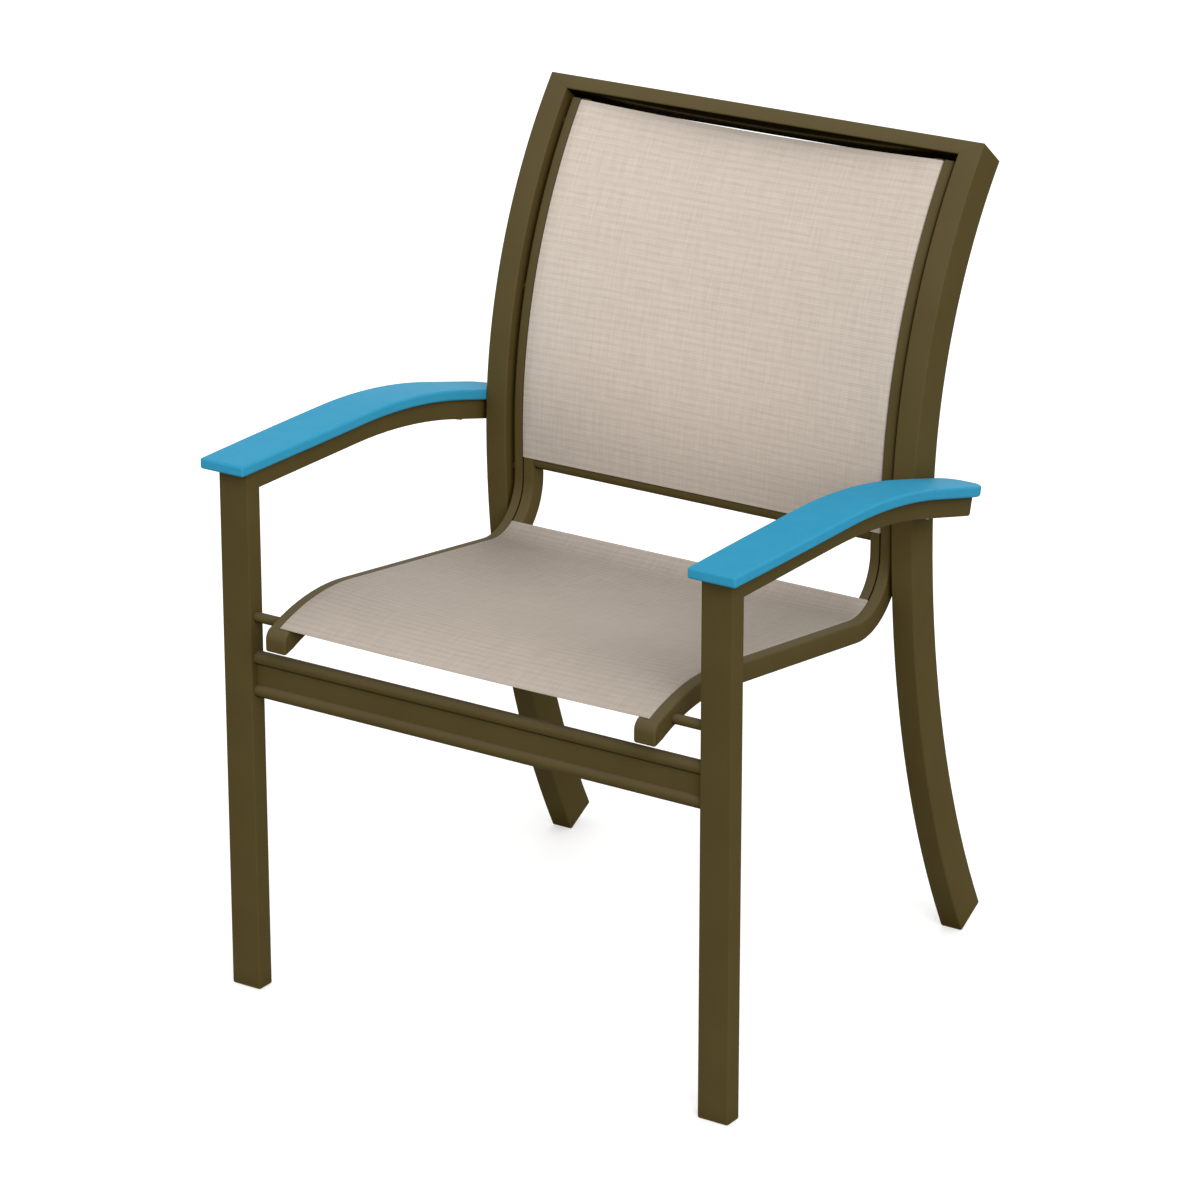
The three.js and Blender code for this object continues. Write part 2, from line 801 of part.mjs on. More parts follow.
function armPad() {
  const route = armAxis.part(0, armEndLength + padRearOverhang);
  route.stations[0] = { ...moved(route.start, -padOverhang), length: -padOverhang };
  const total = route.end.length - route.start.length;
  const body = route.part(padEdge - padOverhang, route.end.length - padEdge, padPanel);
  const ends = edgeShares.slice(0, 2);
  const before = ends.map(([along, inset]) => [along * padEdge, inset * padEdge]);
  const rings = [
    ...before.map(([along, inset]) => [moved(route.start, along), along, inset]),
    ...body.stations.map((s) => [s, s.length - route.start.length, 0]),
    ...before.reverse().map(([along, inset]) => [
      moved(route.end, -along),
      total - along,
      inset,
    ]),
  ];
  const pad = loft(
    rings.map(([station]) => station),
    rings.map(([, reach, inset]) => padOutline(padWidth(reach, total), inset)),
  );
  const depth = legDepth / 2 + screwBite + seam;
  return cut(pad, ...screwStations.map((s) => pin(s, screwDiameter + 2 * seam, 0, depth)));
}

function padScrew(station) {
  const seat = -legDepth / 2 - seam;
  const tip = legDepth / 2 + screwBite;
  const shank = pin(station, screwDiameter, seat - screwHeadHeight / 2, tip);
  return join(pin(station, screwHeadDiameter, seat - screwHeadHeight, seat), shank);
}

// Finishes
function finish(color, roughness, metalness) {
  return new THREE.MeshStandardMaterial({ color, roughness, metalness });
}

const powderCoat = finish(0x52472b, 0.45, 0.3);
const mouldedBronze = finish(0x40361c, 0.55, 0);
const mesh = finish(0xbdb2a6, 0.85, 0);
const padBlue = finish(0x3a9cc0, 0.4, 0);
const cord = finish(0xd8d2c8, 0.7, 0);
const steel = finish(0x9a9a96, 0.35, 0.9);

const group = new THREE.Group();
group.name = 'sling_patio_chair';

function place(name, geometry, material, x = 0, y = 0, z = 0) {
  const piece = new THREE.Mesh(geometry, material);
  piece.name = name;
  piece.position.set(x, y, z);
  group.add(piece);
}

// The left piece is given, and the right one is its mirror image.
function pair(name, geometry, material, x, y = 0, z = 0) {
  place(`${name}_left`, geometry, material, x, y, z);
  place(`${name}_right`, mirrored(geometry), material, -x, y, z);
}

pair('front_leg', frontLeg(), powderCoat, legX);
pair('arm_rail', armRail(), powderCoat, legX);
pair('upright', upright(), powderCoat, uprightX);
place('top_rail', topRail(), powderCoat);
pair('sling_rail', slingRail(), powderCoat, railX);
pair('rail_nose_cap', noseCap(), mouldedBronze, railX);
place('front_cross_rod', crossRod(), powderCoat);
place('front_stretcher', frontStretcher(), powderCoat);
place('back_spreader_bar', backSpreader(), powderCoat);
place('seat_spreader_bar', seatSpreader(), powderCoat);

const railSpacerX = uprightX - uprightWidth / 2 - railSpacerLength / 2;
railSpacerShares.forEach((share, i) => {
  const seat = railAxis.at('length', bendEnd + share * (railAxis.end.length - bendEnd));
  const name = `rail_spacer_${['low', 'middle', 'top'][i]}`;
  pair(name, spacer(railSpacerLength), powderCoat, railSpacerX, seat.y, seat.z);
});
const armSeat = armAxis.at('y', uprightAxisY);
const armSpacerX = legInnerX - armSpacerLength / 2;
pair('arm_spacer', spacer(armSpacerLength), powderCoat, armSpacerX, armSeat.y, armSeat.z);

place('seat_sling', sling(seatFrom, seatTo, seatSag, seatFrontSag, 0), mesh);
place('back_sling', sling(backFrom, backTo, backSag, backFootSag, backTopSag), mesh);
pair('seat_spline', spline(seatFrom, seatTo), cord, railX);
pair('back_spline', spline(backFrom, backTo), cord, railX);

pair('front_glide', frontGlide(), mouldedBronze, legX);
pair('rear_glide', rearGlide(), mouldedBronze, uprightX);
pair('arm_end_plug', armPlug(), mouldedBronze, legX);
pair('arm_pad', armPad(), padBlue, legX);
screwStations.forEach((station, i) => {
  const name = `pad_screw_${['front', 'middle', 'rear'][i]}`;
  pair(name, padScrew(station), steel, legX);
});

const extent = new THREE.Box3().setFromObject(group);
const middle = extent.getCenter(new THREE.Vector3());
for (const piece of group.children) piece.position.y -= middle.y;

export default group;
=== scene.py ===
import math

import bpy
from mathutils import Matrix, Vector


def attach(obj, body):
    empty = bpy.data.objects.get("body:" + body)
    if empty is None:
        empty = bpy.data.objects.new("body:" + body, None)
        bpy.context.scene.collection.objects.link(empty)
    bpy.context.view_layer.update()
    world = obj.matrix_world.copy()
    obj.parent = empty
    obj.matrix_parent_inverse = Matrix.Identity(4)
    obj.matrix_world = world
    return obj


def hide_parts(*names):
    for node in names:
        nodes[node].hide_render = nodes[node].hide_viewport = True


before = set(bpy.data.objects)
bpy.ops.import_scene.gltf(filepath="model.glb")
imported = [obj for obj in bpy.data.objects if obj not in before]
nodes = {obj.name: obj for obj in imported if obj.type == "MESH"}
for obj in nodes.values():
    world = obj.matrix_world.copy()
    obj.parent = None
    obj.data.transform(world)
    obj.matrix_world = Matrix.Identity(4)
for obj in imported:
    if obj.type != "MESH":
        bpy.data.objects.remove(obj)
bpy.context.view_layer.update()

# Pieces are drawn with the front legs' front faces at y = 0, then set back by this much.
leg = nodes["front_leg_left"]
SET_BACK = min((leg.matrix_world @ point.co).y for point in leg.data.vertices)

MM = 0.001
SIDES = (("left", 1), ("right", -1))

# Sizes

# They are the frame's, but for the top rail's depth, the ends of the pads, the sag of the back
# sling's upper edge and the rims of the plugs, which are nearer to the real chair here.
OVERALL_HEIGHT = 898.3 * MM
LEG_SPAN = 631.5 * MM
ARM_HEIGHT = 588.2 * MM
UPRIGHT_FRONT = 424.4 * MM
UPRIGHT_WAIST = 520 * MM

LEG_WIDTH = 36.5 * MM
LEG_DEPTH = 22 * MM
LEG_CORNER = 1.5 * MM
ARM_REACH = 474 * MM
ARM_STRAIGHT = 195 * MM
ARM_RADIUS = 735 * MM
ARM_DROP = math.radians(14.5)

UPRIGHT_WIDTH = 26.5 * MM
UPRIGHT_DEPTH = 44 * MM
UPRIGHT_CORNER = 1.8 * MM
REAR_LEG_RADIUS = 1110 * MM
BACK_RADIUS = 605 * MM

RAIL_WIDTH = 26 * MM
RAIL_DEPTH = 23 * MM
RAIL_CORNER = 3 * MM
GROOVE_RADIUS = 3.3 * MM
GROOVE_MOUTH = 2 * MM
GROOVE_LIP = 1.2 * MM
GROOVE_ROUND_SHARE = 0.66
SEAT_SLOPE = math.radians(7.3)
SEAT_BEND_RADIUS = 55.4 * MM
SEAT_BEND_TOP = 469.6 * MM
CROWN_RADIUS = 248 * MM
CREST_SETBACK = 78.75 * MM
RAIL_REACH = 16.5 * MM
RAIL_SETBACK = 20 * MM
RAIL_TOP_GAP = 5.3 * MM
NOSE_REACH = 24.5 * MM
NOSE_CHIN = 406 * MM
NOSE_EDGE = 2.6 * MM
BROW_SHARE = 0.96

RAIL_SPACER_LENGTH = 4.9 * MM
ARM_SPACER_LENGTH = 6 * MM

TOP_RAIL_HEIGHT = 16.5 * MM
TOP_RAIL_DEPTH = 36.5 * MM
TOP_RAIL_CORNER = 1.5 * MM
TOP_CORNER_RADIUS = 1.5 * MM
TOP_CORNER_CUTS = 5
ROD_DIAMETER = 11 * MM
ROD_DROP = 2.5 * MM
STRETCHER_HEIGHT = 362.3 * MM
STRETCHER_PITCH = 36.8 * MM
BEAD_DIAMETER = 15 * MM
WEB_THICKNESS = 5 * MM
SPREADER_DIAMETER = 19 * MM
BACK_SPREADER_HEIGHT = 489 * MM
SEAT_SPREADER_SETBACK = 62 * MM
SEAT_SPREADER_BOW = 28 * MM

CLOTH_THICKNESS = 0.8 * MM
SPLINE_DIAMETER = 4 * MM
SEAT_SAG = 10 * MM
SEAT_FRONT_SAG = 2 * MM
BACK_SAG = 12 * MM
BACK_FOOT_SAG = 1 * MM
BACK_TOP_SAG = 12 * MM
SEAT_FRONT_MARGIN = 0.8 * MM
SEAT_REAR_TURN = math.radians(43.3)
BACK_FOOT_HEIGHT = 493.8 * MM
BACK_TOP_MARGIN = 1.7 * MM

PAD_THICKNESS = 12 * MM
PAD_FRONT_WIDTH = 56 * MM
PAD_WIDEST_WIDTH = 60 * MM
PAD_REAR_WIDTH = 53 * MM
PAD_WIDEST_SHARE = 0.36
PAD_OVERHANG = 15.7 * MM
PAD_REAR_OVERHANG = 14 * MM
PAD_OUTSET = 2.8 * MM
PAD_TAIL_LENGTH = 30 * MM
PAD_TAIL_END = 12 * MM
PAD_EDGE = 2.8 * MM

GLIDE_THICKNESS = 3 * MM
GLIDE_EDGE = 1.4 * MM
GLIDE_RIM_SHARE = 0.3
PLUG_FLANGE = 3 * MM
PLUG_CORNER = 3 * MM
PLUG_EDGE = 2 * MM
SEAM = 0.3 * MM

LEG_X = (LEG_SPAN - LEG_WIDTH) / 2
LEG_INNER_X = LEG_X - LEG_WIDTH / 2
UPRIGHT_X = LEG_INNER_X - ARM_SPACER_LENGTH - UPRIGHT_WIDTH / 2
RAIL_X = UPRIGHT_X - UPRIGHT_WIDTH / 2 - RAIL_SPACER_LENGTH - RAIL_WIDTH / 2
RAIL_INNER_X = RAIL_X - RAIL_WIDTH / 2


# Camera

CAMERA_PLACE = Vector((2730.7, -3873.9, 2264.7)) * MM
CAMERA_TURN = math.radians(33.5637)
CAMERA_TILT = math.radians(20.3719)
CAMERA_LENS = 149.65
CAMERA_SENSOR = 36
CAMERA_SIGHT = 50


def add_camera():
    """The camera that took the photograph, found from the chair's mirror pairs."""
    data = bpy.data.cameras.new("photograph_camera")
    data.lens = CAMERA_LENS
    data.sensor_width = CAMERA_SENSOR
    data.clip_end = CAMERA_SIGHT
    camera = bpy.data.objects.new("photograph_camera", data)
    camera.location = CAMERA_PLACE + Vector((0, SET_BACK, 0))
    camera.rotation_euler = (math.pi / 2 - CAMERA_TILT, 0, CAMERA_TURN)
    bpy.context.scene.collection.objects.link(camera)
    bpy.context.scene.camera = camera


# Paths in a side plane

# A place is (y, z, heading). Heading 0 runs backwards along +Y, and a quarter turn is up.


def ahead(place, length, rise=0.0):
    """The place that lies a length on and a rise over this one."""
    y, z, heading = place
    return (
        y + length * math.cos(heading) - rise * math.sin(heading),
        z + length * math.sin(heading) + rise * math.cos(heading),
        heading,
    )


def along_bend(place, radius, turn):
    """The place at the end of a bend that turns left by turn, or right where it is negative."""
    side = math.copysign(radius, turn)
    y, z, heading = ahead(place, 0, side)
    return (
        y + side * math.sin(heading + turn),
        z - side * math.cos(heading + turn),
        heading + turn,
    )


# The upright's centre line starts at the heel, and the sling rail's at its nose.
UPRIGHT_AXIS_Y = UPRIGHT_FRONT + UPRIGHT_DEPTH / 2
LEG_AXIS_RADIUS = REAR_LEG_RADIUS - UPRIGHT_DEPTH / 2
BACK_AXIS_RADIUS = BACK_RADIUS - UPRIGHT_DEPTH / 2
RAIL_AXIS_Y = UPRIGHT_FRONT + RAIL_SETBACK
RAIL_BACK_RADIUS = BACK_RADIUS - RAIL_SETBACK
HEEL = math.asin(UPRIGHT_WAIST / REAR_LEG_RADIUS)
FOOT_SINK = GLIDE_EDGE * GLIDE_RIM_SHARE * (math.cos(HEEL) + math.sin(HEEL))
HEEL_TURN = math.asin((UPRIGHT_WAIST + FOOT_SINK) / REAR_LEG_RADIUS)
BACK_TURN = math.asin((OVERALL_HEIGHT - UPRIGHT_WAIST) / BACK_RADIUS)
HEEL_PLACE = (
    UPRIGHT_AXIS_Y + LEG_AXIS_RADIUS * (1 - math.cos(HEEL_TURN)),
    UPRIGHT_WAIST - LEG_AXIS_RADIUS * math.sin(HEEL_TURN),
    math.pi / 2 + HEEL_TURN,
)
WAIST_PLACE = (UPRIGHT_AXIS_Y, UPRIGHT_WAIST, math.pi / 2)
TOP_PLACE = along_bend(WAIST_PLACE, BACK_AXIS_RADIUS, -BACK_TURN)

RAIL_HALF = RAIL_DEPTH / 2
CROWN_AXIS_RADIUS = CROWN_RADIUS - RAIL_HALF
BEND_AXIS_RADIUS = SEAT_BEND_RADIUS + RAIL_HALF
BEND_FOOT_Y = RAIL_AXIS_Y - BEND_AXIS_RADIUS * (1 + math.sin(SEAT_SLOPE))
BEND_FOOT_Z = SEAT_BEND_TOP - BEND_AXIS_RADIUS * math.cos(SEAT_SLOPE)
CROWN_END_Y = CREST_SETBACK + CROWN_AXIS_RADIUS * math.sin(SEAT_SLOPE)
SEAT_STRAIGHT = (BEND_FOOT_Y - CROWN_END_Y) / math.cos(SEAT_SLOPE)
CROWN_CENTRE_Z = (
    BEND_FOOT_Z + SEAT_STRAIGHT * math.sin(SEAT_SLOPE) - CROWN_AXIS_RADIUS * math.cos(SEAT_SLOPE)
)
NOSE_DIP = math.asin((CREST_SETBACK + RAIL_REACH) / CROWN_RADIUS)
NOSE_PLACE = (
    CREST_SETBACK - CROWN_AXIS_RADIUS * math.sin(NOSE_DIP),
    CROWN_CENTRE_Z + CROWN_AXIS_RADIUS * math.cos(NOSE_DIP),
    NOSE_DIP,
)
CROWN_TURN = SEAT_SLOPE + NOSE_DIP
BEND_TURN = math.pi / 2 + SEAT_SLOPE
RAIL_TOP_SINK = math.asin((TOP_RAIL_HEIGHT + RAIL_TOP_GAP) / RAIL_BACK_RADIUS)
RAIL_RUNS = (
    ("bend", CROWN_AXIS_RADIUS, -CROWN_TURN),
    ("straight", SEAT_STRAIGHT, 0),
    ("bend", BEND_AXIS_RADIUS, BEND_TURN),
    ("straight", UPRIGHT_WAIST - SEAT_BEND_TOP, 0),
    ("bend", RAIL_BACK_RADIUS, RAIL_TOP_SINK - BACK_TURN),
)
BEND_START = CROWN_AXIS_RADIUS * CROWN_TURN + SEAT_STRAIGHT
BEND_END = BEND_START + BEND_AXIS_RADIUS * BEND_TURN


def length_of(runs):
    """The length of a route."""
    return sum(size if kind == "straight" else size * abs(turn) for kind, size, turn in runs)


def place_along(start, runs, length):
    """The place at a length along a route."""
    place = start
    for kind, size, turn in runs:
        run = size if kind == "straight" else size * abs(turn)
        share = min(1, length / run)
        if kind == "straight":
            place = ahead(place, size * share)
        else:
            place = along_bend(place, size, turn * share)
        length -= run
        if length <= 0:
            break
    return place


ARM_PLACE = (0, ARM_HEIGHT - LEG_DEPTH / 2, 0)
ARM_TAIL = (ARM_REACH - ARM_STRAIGHT - ARM_RADIUS * math.sin(ARM_DROP)) / math.cos(ARM_DROP)
ARM_RUNS = (
    ("straight", ARM_STRAIGHT, 0),
    ("bend", ARM_RADIUS, -ARM_DROP),
    ("straight", ARM_TAIL, 0),
)
ROD_Y = LEG_DEPTH / 2
ROD_Z = CROWN_CENTRE_Z + math.sqrt(
    (CROWN_AXIS_RADIUS - ROD_DROP) ** 2 - (CREST_SETBACK - ROD_Y) ** 2
)


# Shaping

BEND_FACET = math.radians(1.5)
TIGHT_FACET = math.radians(4)
TIGHT_RADIUS = 100 * MM
CORNER_SEGMENTS = 5
EDGE_SEGMENTS = 4
MERGE_DISTANCE = 0.004 * MM
# What lies this near to a plane lies in it.
NEAR = SEAM / 3
# Faces that meet at less than one of these angles are shaded as one surface.
SMOOTH_ANGLE = math.radians(32)
ROUND_ANGLE = math.radians(50)


def start_clean():
    """Leaves edit mode with nothing selected."""
    if bpy.context.object and bpy.context.object.mode != "OBJECT":
        bpy.ops.object.mode_set(mode="OBJECT")
    bpy.ops.object.select_all(action="DESELECT")


def newest(name):
    """Names the piece that was just added."""
    piece = bpy.context.object
    piece.name = name
    piece.data.name = name
    return piece


def edit_all():
    """Enters edit mode with the whole piece selected."""
    bpy.ops.object.mode_set(mode="EDIT")
    bpy.ops.mesh.select_all(action="SELECT")


def settle(smooth_angle=SMOOTH_ANGLE):
    """Leaves edit mode with clean outward faces, the place in the mesh and smooth bends."""
    edit_all()
    bpy.ops.mesh.remove_doubles(threshold=MERGE_DISTANCE)
    bpy.ops.mesh.normals_make_consistent(inside=False)
    bpy.ops.object.mode_set(mode="OBJECT")
    bpy.ops.object.transform_apply(location=True, rotation=True, scale=True)
    bpy.ops.object.shade_smooth_by_angle(angle=smooth_angle)


def profile(name, x, place, width, depth, corner):
    """A rounded rectangular section, ready in edit mode at the start of its route."""
    start_clean()
    y, z, heading = place
    bpy.ops.mesh.primitive_plane_add(
        size=1, location=(x, y, z), rotation=(heading + math.pi / 2, 0, 0)
    )
    piece = newest(name)
    piece.scale = (width, depth, 1)
    bpy.ops.object.transform_apply(location=True, rotation=True, scale=True)
    edit_all()
    bpy.ops.mesh.bevel(offset=corner, segments=CORNER_SEGMENTS, affect="VERTICES")
    return piece


def draw_along(x, start, runs):
    """Draws the selected section along a route: straights are extruded and bends are spun."""
    place = start
    for kind, size, turn in runs:
        if kind == "straight":
            after = ahead(place, size)
            move = (0, after[0] - place[0], after[1] - place[1])
            bpy.ops.mesh.extrude_region_move(TRANSFORM_OT_translate={"value": move})
        else:
            after = along_bend(place, size, turn)
            centre = ahead(place, 0, math.copysign(size, turn))
            step = TIGHT_FACET if size < TIGHT_RADIUS else BEND_FACET
            bpy.ops.mesh.spin(
                steps=math.ceil(abs(turn) / step),
                angle=-turn,
                center=(x, centre[0], centre[1]),
                axis=(1, 0, 0),
            )
        place = after


def trim(point, normal, keep_outer=False):
    """Cuts the whole piece by a plane, closes the cut and drops the side that normal points to."""
    bpy.ops.mesh.select_all(action="SELECT")
    bpy.ops.mesh.bisect(
        plane_co=point,
        plane_no=normal,
        use_fill=True,
        clear_outer=not keep_outer,
        clear_inner=keep_outer,
    )


def select_faces(test):
    """Selects the faces whose centre passes the test, in edit mode."""
    piece = bpy.context.object
    bpy.ops.mesh.select_mode(type="FACE")
    bpy.ops.mesh.select_all(action="DESELECT")
    bpy.ops.object.mode_set(mode="OBJECT")
    for face in piece.data.polygons:
        face.select = test(face.center)
    bpy.ops.object.mode_set(mode="EDIT")


def select_points(test):
    """Selects the points that pass the test, in edit mode."""
    piece = bpy.context.object
    bpy.ops.mesh.select_mode(type="VERT")
    bpy.ops.mesh.select_all(action="DESELECT")
    bpy.ops.object.mode_set(mode="OBJECT")
    for point in piece.data.vertices:
        point.select = test(point.co)
    bpy.ops.object.mode_set(mode="EDIT")


def finish_piece(piece, material, slot, *node_names):
    """Sets the piece back into the frame's place, coats it and lets it stand for its node."""
    piece.data.transform(Matrix.Translation((0, SET_BACK, 0)))
    piece.data.materials.clear()
    piece.data.materials.append(material)
    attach(piece, "root")
    if node_names:
        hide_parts(*node_names)
    return piece


# Frame tubes

MITRE_PLACE = Vector((0, LEG_DEPTH / 2, ARM_HEIGHT - LEG_DEPTH / 2))
MITRE_NORMAL = Vector((0, 1, 1)).normalized()


def front_leg(side, sign, coat):
    """The upright tube in front, mitred with the arm rail."""
    foot = (LEG_DEPTH / 2, GLIDE_THICKNESS + SEAM / 2, math.pi / 2)
    piece = profile(f"front_leg_tube_{side}", sign * LEG_X, foot, LEG_WIDTH, LEG_DEPTH, LEG_CORNER)
    draw_along(sign * LEG_X, foot, (("straight", ARM_HEIGHT, 0),))
    trim(MITRE_PLACE, MITRE_NORMAL)
    settle()
    return finish_piece(piece, coat, "powder_coat", f"front_leg_{side}")


def arm_rail(side, sign, coat):
    """The tube under the pad: level over the leg, then bent down towards the back."""
    x = sign * LEG_X
    start = ahead(ARM_PLACE, -LEG_DEPTH)
    runs = (
        ("straight", ARM_STRAIGHT + LEG_DEPTH, 0),
        ARM_RUNS[1],
        ("straight", ARM_TAIL - PLUG_FLANGE - SEAM / 2, 0),
    )
    piece = profile(f"arm_rail_tube_{side}", x, start, LEG_WIDTH, LEG_DEPTH, LEG_CORNER)
    draw_along(x, start, runs)
    trim(MITRE_PLACE, MITRE_NORMAL, keep_outer=True)
    settle()
    return finish_piece(piece, coat, "powder_coat", f"arm_rail_{side}")


def arm_plug(side, sign, nylon):
    """The moulded plug that closes the arm rail's rear end, eased all round its rim."""
    x = sign * LEG_X
    flange = PLUG_FLANGE - SEAM / 2
    start = ahead(place_along(ARM_PLACE, ARM_RUNS, length_of(ARM_RUNS)), -flange)
    piece = profile(f"arm_plug_{side}", x, start, LEG_WIDTH, LEG_DEPTH, PLUG_CORNER)
    draw_along(x, start, (("straight", flange, 0),))
    settle(ROUND_ANGLE)
    end = ahead(start, flange)
    run = Vector((0, math.cos(end[2]), math.sin(end[2])))
    outer = Vector((x, end[0], end[1]))
    bpy.ops.object.mode_set(mode="EDIT")
    select_faces(lambda centre: abs((centre - outer).dot(run)) < NEAR)
    bpy.ops.mesh.region_to_loop()
    bpy.ops.mesh.bevel(offset=PLUG_EDGE, segments=CORNER_SEGMENTS, affect="EDGES")
    settle(ROUND_ANGLE)
    return finish_piece(piece, nylon, "moulded_bronze", f"arm_end_plug_{side}")


def top_direction():
    """The way in which the uprights point at their tops."""
    heading = TOP_PLACE[2]
    return Vector((0, math.cos(heading), math.sin(heading)))


def top_mitre(sign):
    """A point and the upward normal of the mitre between an upright and the top rail."""
    point = Vector((sign * (UPRIGHT_X + UPRIGHT_WIDTH / 2), TOP_PLACE[0], TOP_PLACE[1]))
    normal = Vector((-sign * TOP_RAIL_HEIGHT, 0, 0)) + top_direction() * UPRIGHT_WIDTH
    return point, normal.normalized()


def round_top_corner(sign):
    """Grinds the welded corner of the top frame to a small radius."""
    corner = Vector((sign * (UPRIGHT_X + UPRIGHT_WIDTH / 2), TOP_PLACE[0], TOP_PLACE[1]))
    across = Vector((sign, 0, 0))
    up = top_direction()
    centre = corner - (across + up) * TOP_CORNER_RADIUS
    for cut in range(TOP_CORNER_CUTS):
        turn = (cut + 0.5) / TOP_CORNER_CUTS * math.pi / 2
        normal = across * math.cos(turn) + up * math.sin(turn)
        trim(centre + normal * TOP_CORNER_RADIUS, normal)


def upright(side, sign, coat):
    """One tube for the rear leg and the back post, bent both ways from the waist."""
    x = sign * UPRIGHT_X
    reach = GLIDE_THICKNESS + SEAM / 2
    start = along_bend(HEEL_PLACE, LEG_AXIS_RADIUS, -reach / LEG_AXIS_RADIUS)
    piece = profile(
        f"upright_tube_{side}", x, start, UPRIGHT_WIDTH, UPRIGHT_DEPTH, UPRIGHT_CORNER
    )
    draw_along(
        x,
        start,
        (
            ("bend", LEG_AXIS_RADIUS, reach / LEG_AXIS_RADIUS - HEEL_TURN),
            ("bend", BACK_AXIS_RADIUS, -BACK_TURN),
        ),
    )
    trim(*top_mitre(sign))
    round_top_corner(sign)
    settle()
    return finish_piece(piece, coat, "powder_coat", f"upright_{side}")


def top_rail(coat):
    """The tube that joins the uprights' tops, mitred at both ends."""
    middle = ahead(TOP_PLACE, -TOP_RAIL_HEIGHT / 2, (UPRIGHT_DEPTH - TOP_RAIL_DEPTH) / 2)
    half = UPRIGHT_X + UPRIGHT_WIDTH / 2
    start_clean()
    bpy.ops.mesh.primitive_plane_add(
        size=1, location=(-half, 0, 0), rotation=(0, -math.pi / 2, 0)
    )
    piece = newest("top_rail_tube")
    piece.scale = (TOP_RAIL_HEIGHT, TOP_RAIL_DEPTH, 1)
    bpy.ops.object.transform_apply(location=True, rotation=True, scale=True)
    edit_all()
    bpy.ops.mesh.bevel(offset=TOP_RAIL_CORNER, segments=CORNER_SEGMENTS, affect="VERTICES")
    bpy.ops.mesh.extrude_region_move(TRANSFORM_OT_translate={"value": (2 * half, 0, 0)})
    bpy.ops.object.mode_set(mode="OBJECT")
    piece.rotation_euler = (TOP_PLACE[2] - math.pi / 2, 0, 0)
    piece.location = (0, middle[0], middle[1])
    bpy.ops.object.transform_apply(location=True, rotation=True, scale=True)
    edit_all()
    for _, sign in SIDES:
        trim(*top_mitre(sign), keep_outer=True)
        round_top_corner(sign)
    settle()
    return finish_piece(piece, coat, "powder_coat", "top_rail")


def cut_groove(x, start):
    """Cuts the keyhole groove into the rail's section while it is still one flat face."""
    _, _, heading = start
    up = Vector((0, -math.sin(heading), math.cos(heading)))
    across = Vector((1, 0, 0))
    origin = Vector((x, start[0], start[1]))
    lip = RAIL_HALF - GROOVE_LIP
    floor = lip - 2 * GROOVE_RADIUS
    for offset in (-GROOVE_RADIUS, -GROOVE_MOUTH / 2, GROOVE_MOUTH / 2, GROOVE_RADIUS):
        bpy.ops.mesh.select_all(action="SELECT")
        bpy.ops.mesh.bisect(plane_co=origin + across * offset, plane_no=across)
    for rise in (floor, lip):
        bpy.ops.mesh.select_all(action="SELECT")
        bpy.ops.mesh.bisect(plane_co=origin + up * rise, plane_no=up)

    def in_groove(centre):
        offset = abs((centre - origin).dot(across))
        rise = (centre - origin).dot(up)
        in_mouth = offset < GROOVE_MOUTH / 2 and rise > lip
        return in_mouth or (offset < GROOVE_RADIUS and floor < rise < lip)

    select_faces(in_groove)
    bpy.ops.mesh.delete(type="FACE")
    bpy.ops.mesh.select_all(action="SELECT")
    bpy.ops.mesh.dissolve_faces()

    def needless(point):
        offset = abs((point - origin).dot(across))
        rise = (point - origin).dot(up)
        on_edge = abs(rise - RAIL_HALF) < NEAR or abs(rise + RAIL_HALF) < NEAR
        mouth = abs(offset - GROOVE_MOUTH / 2) < NEAR
        wide = abs(offset - GROOVE_RADIUS) < NEAR
        on_side = abs(offset - RAIL_WIDTH / 2) < NEAR
        below = rise < floor + SEAM
        level = abs(rise - floor) < NEAR or abs(rise - lip) < NEAR
        return (on_edge and wide) or (mouth and below) or (on_side and level)

    select_points(needless)
    bpy.ops.mesh.dissolve_verts()

    def channel_corner(point):
        offset = abs((point - origin).dot(across))
        rise = (point - origin).dot(up)
        return abs(offset - GROOVE_RADIUS) < NEAR and floor - SEAM < rise < lip + SEAM

    select_points(channel_corner)
    bpy.ops.mesh.bevel(
        offset=GROOVE_RADIUS * GROOVE_ROUND_SHARE, segments=EDGE_SEGMENTS, affect="VERTICES"
    )
    bpy.ops.mesh.select_all(action="SELECT")


def sling_rail(side, sign, coat):
    """The extrusion that holds the cloth's edge, from the seat's front to the back's top."""
    x = sign * RAIL_X
    piece = profile(
        f"sling_rail_{side}_extrusion", x, NOSE_PLACE, RAIL_WIDTH, RAIL_DEPTH, RAIL_CORNER
    )
    cut_groove(x, NOSE_PLACE)
    draw_along(x, NOSE_PLACE, RAIL_RUNS)
    settle()
    return finish_piece(piece, coat, "powder_coat", f"sling_rail_{side}")


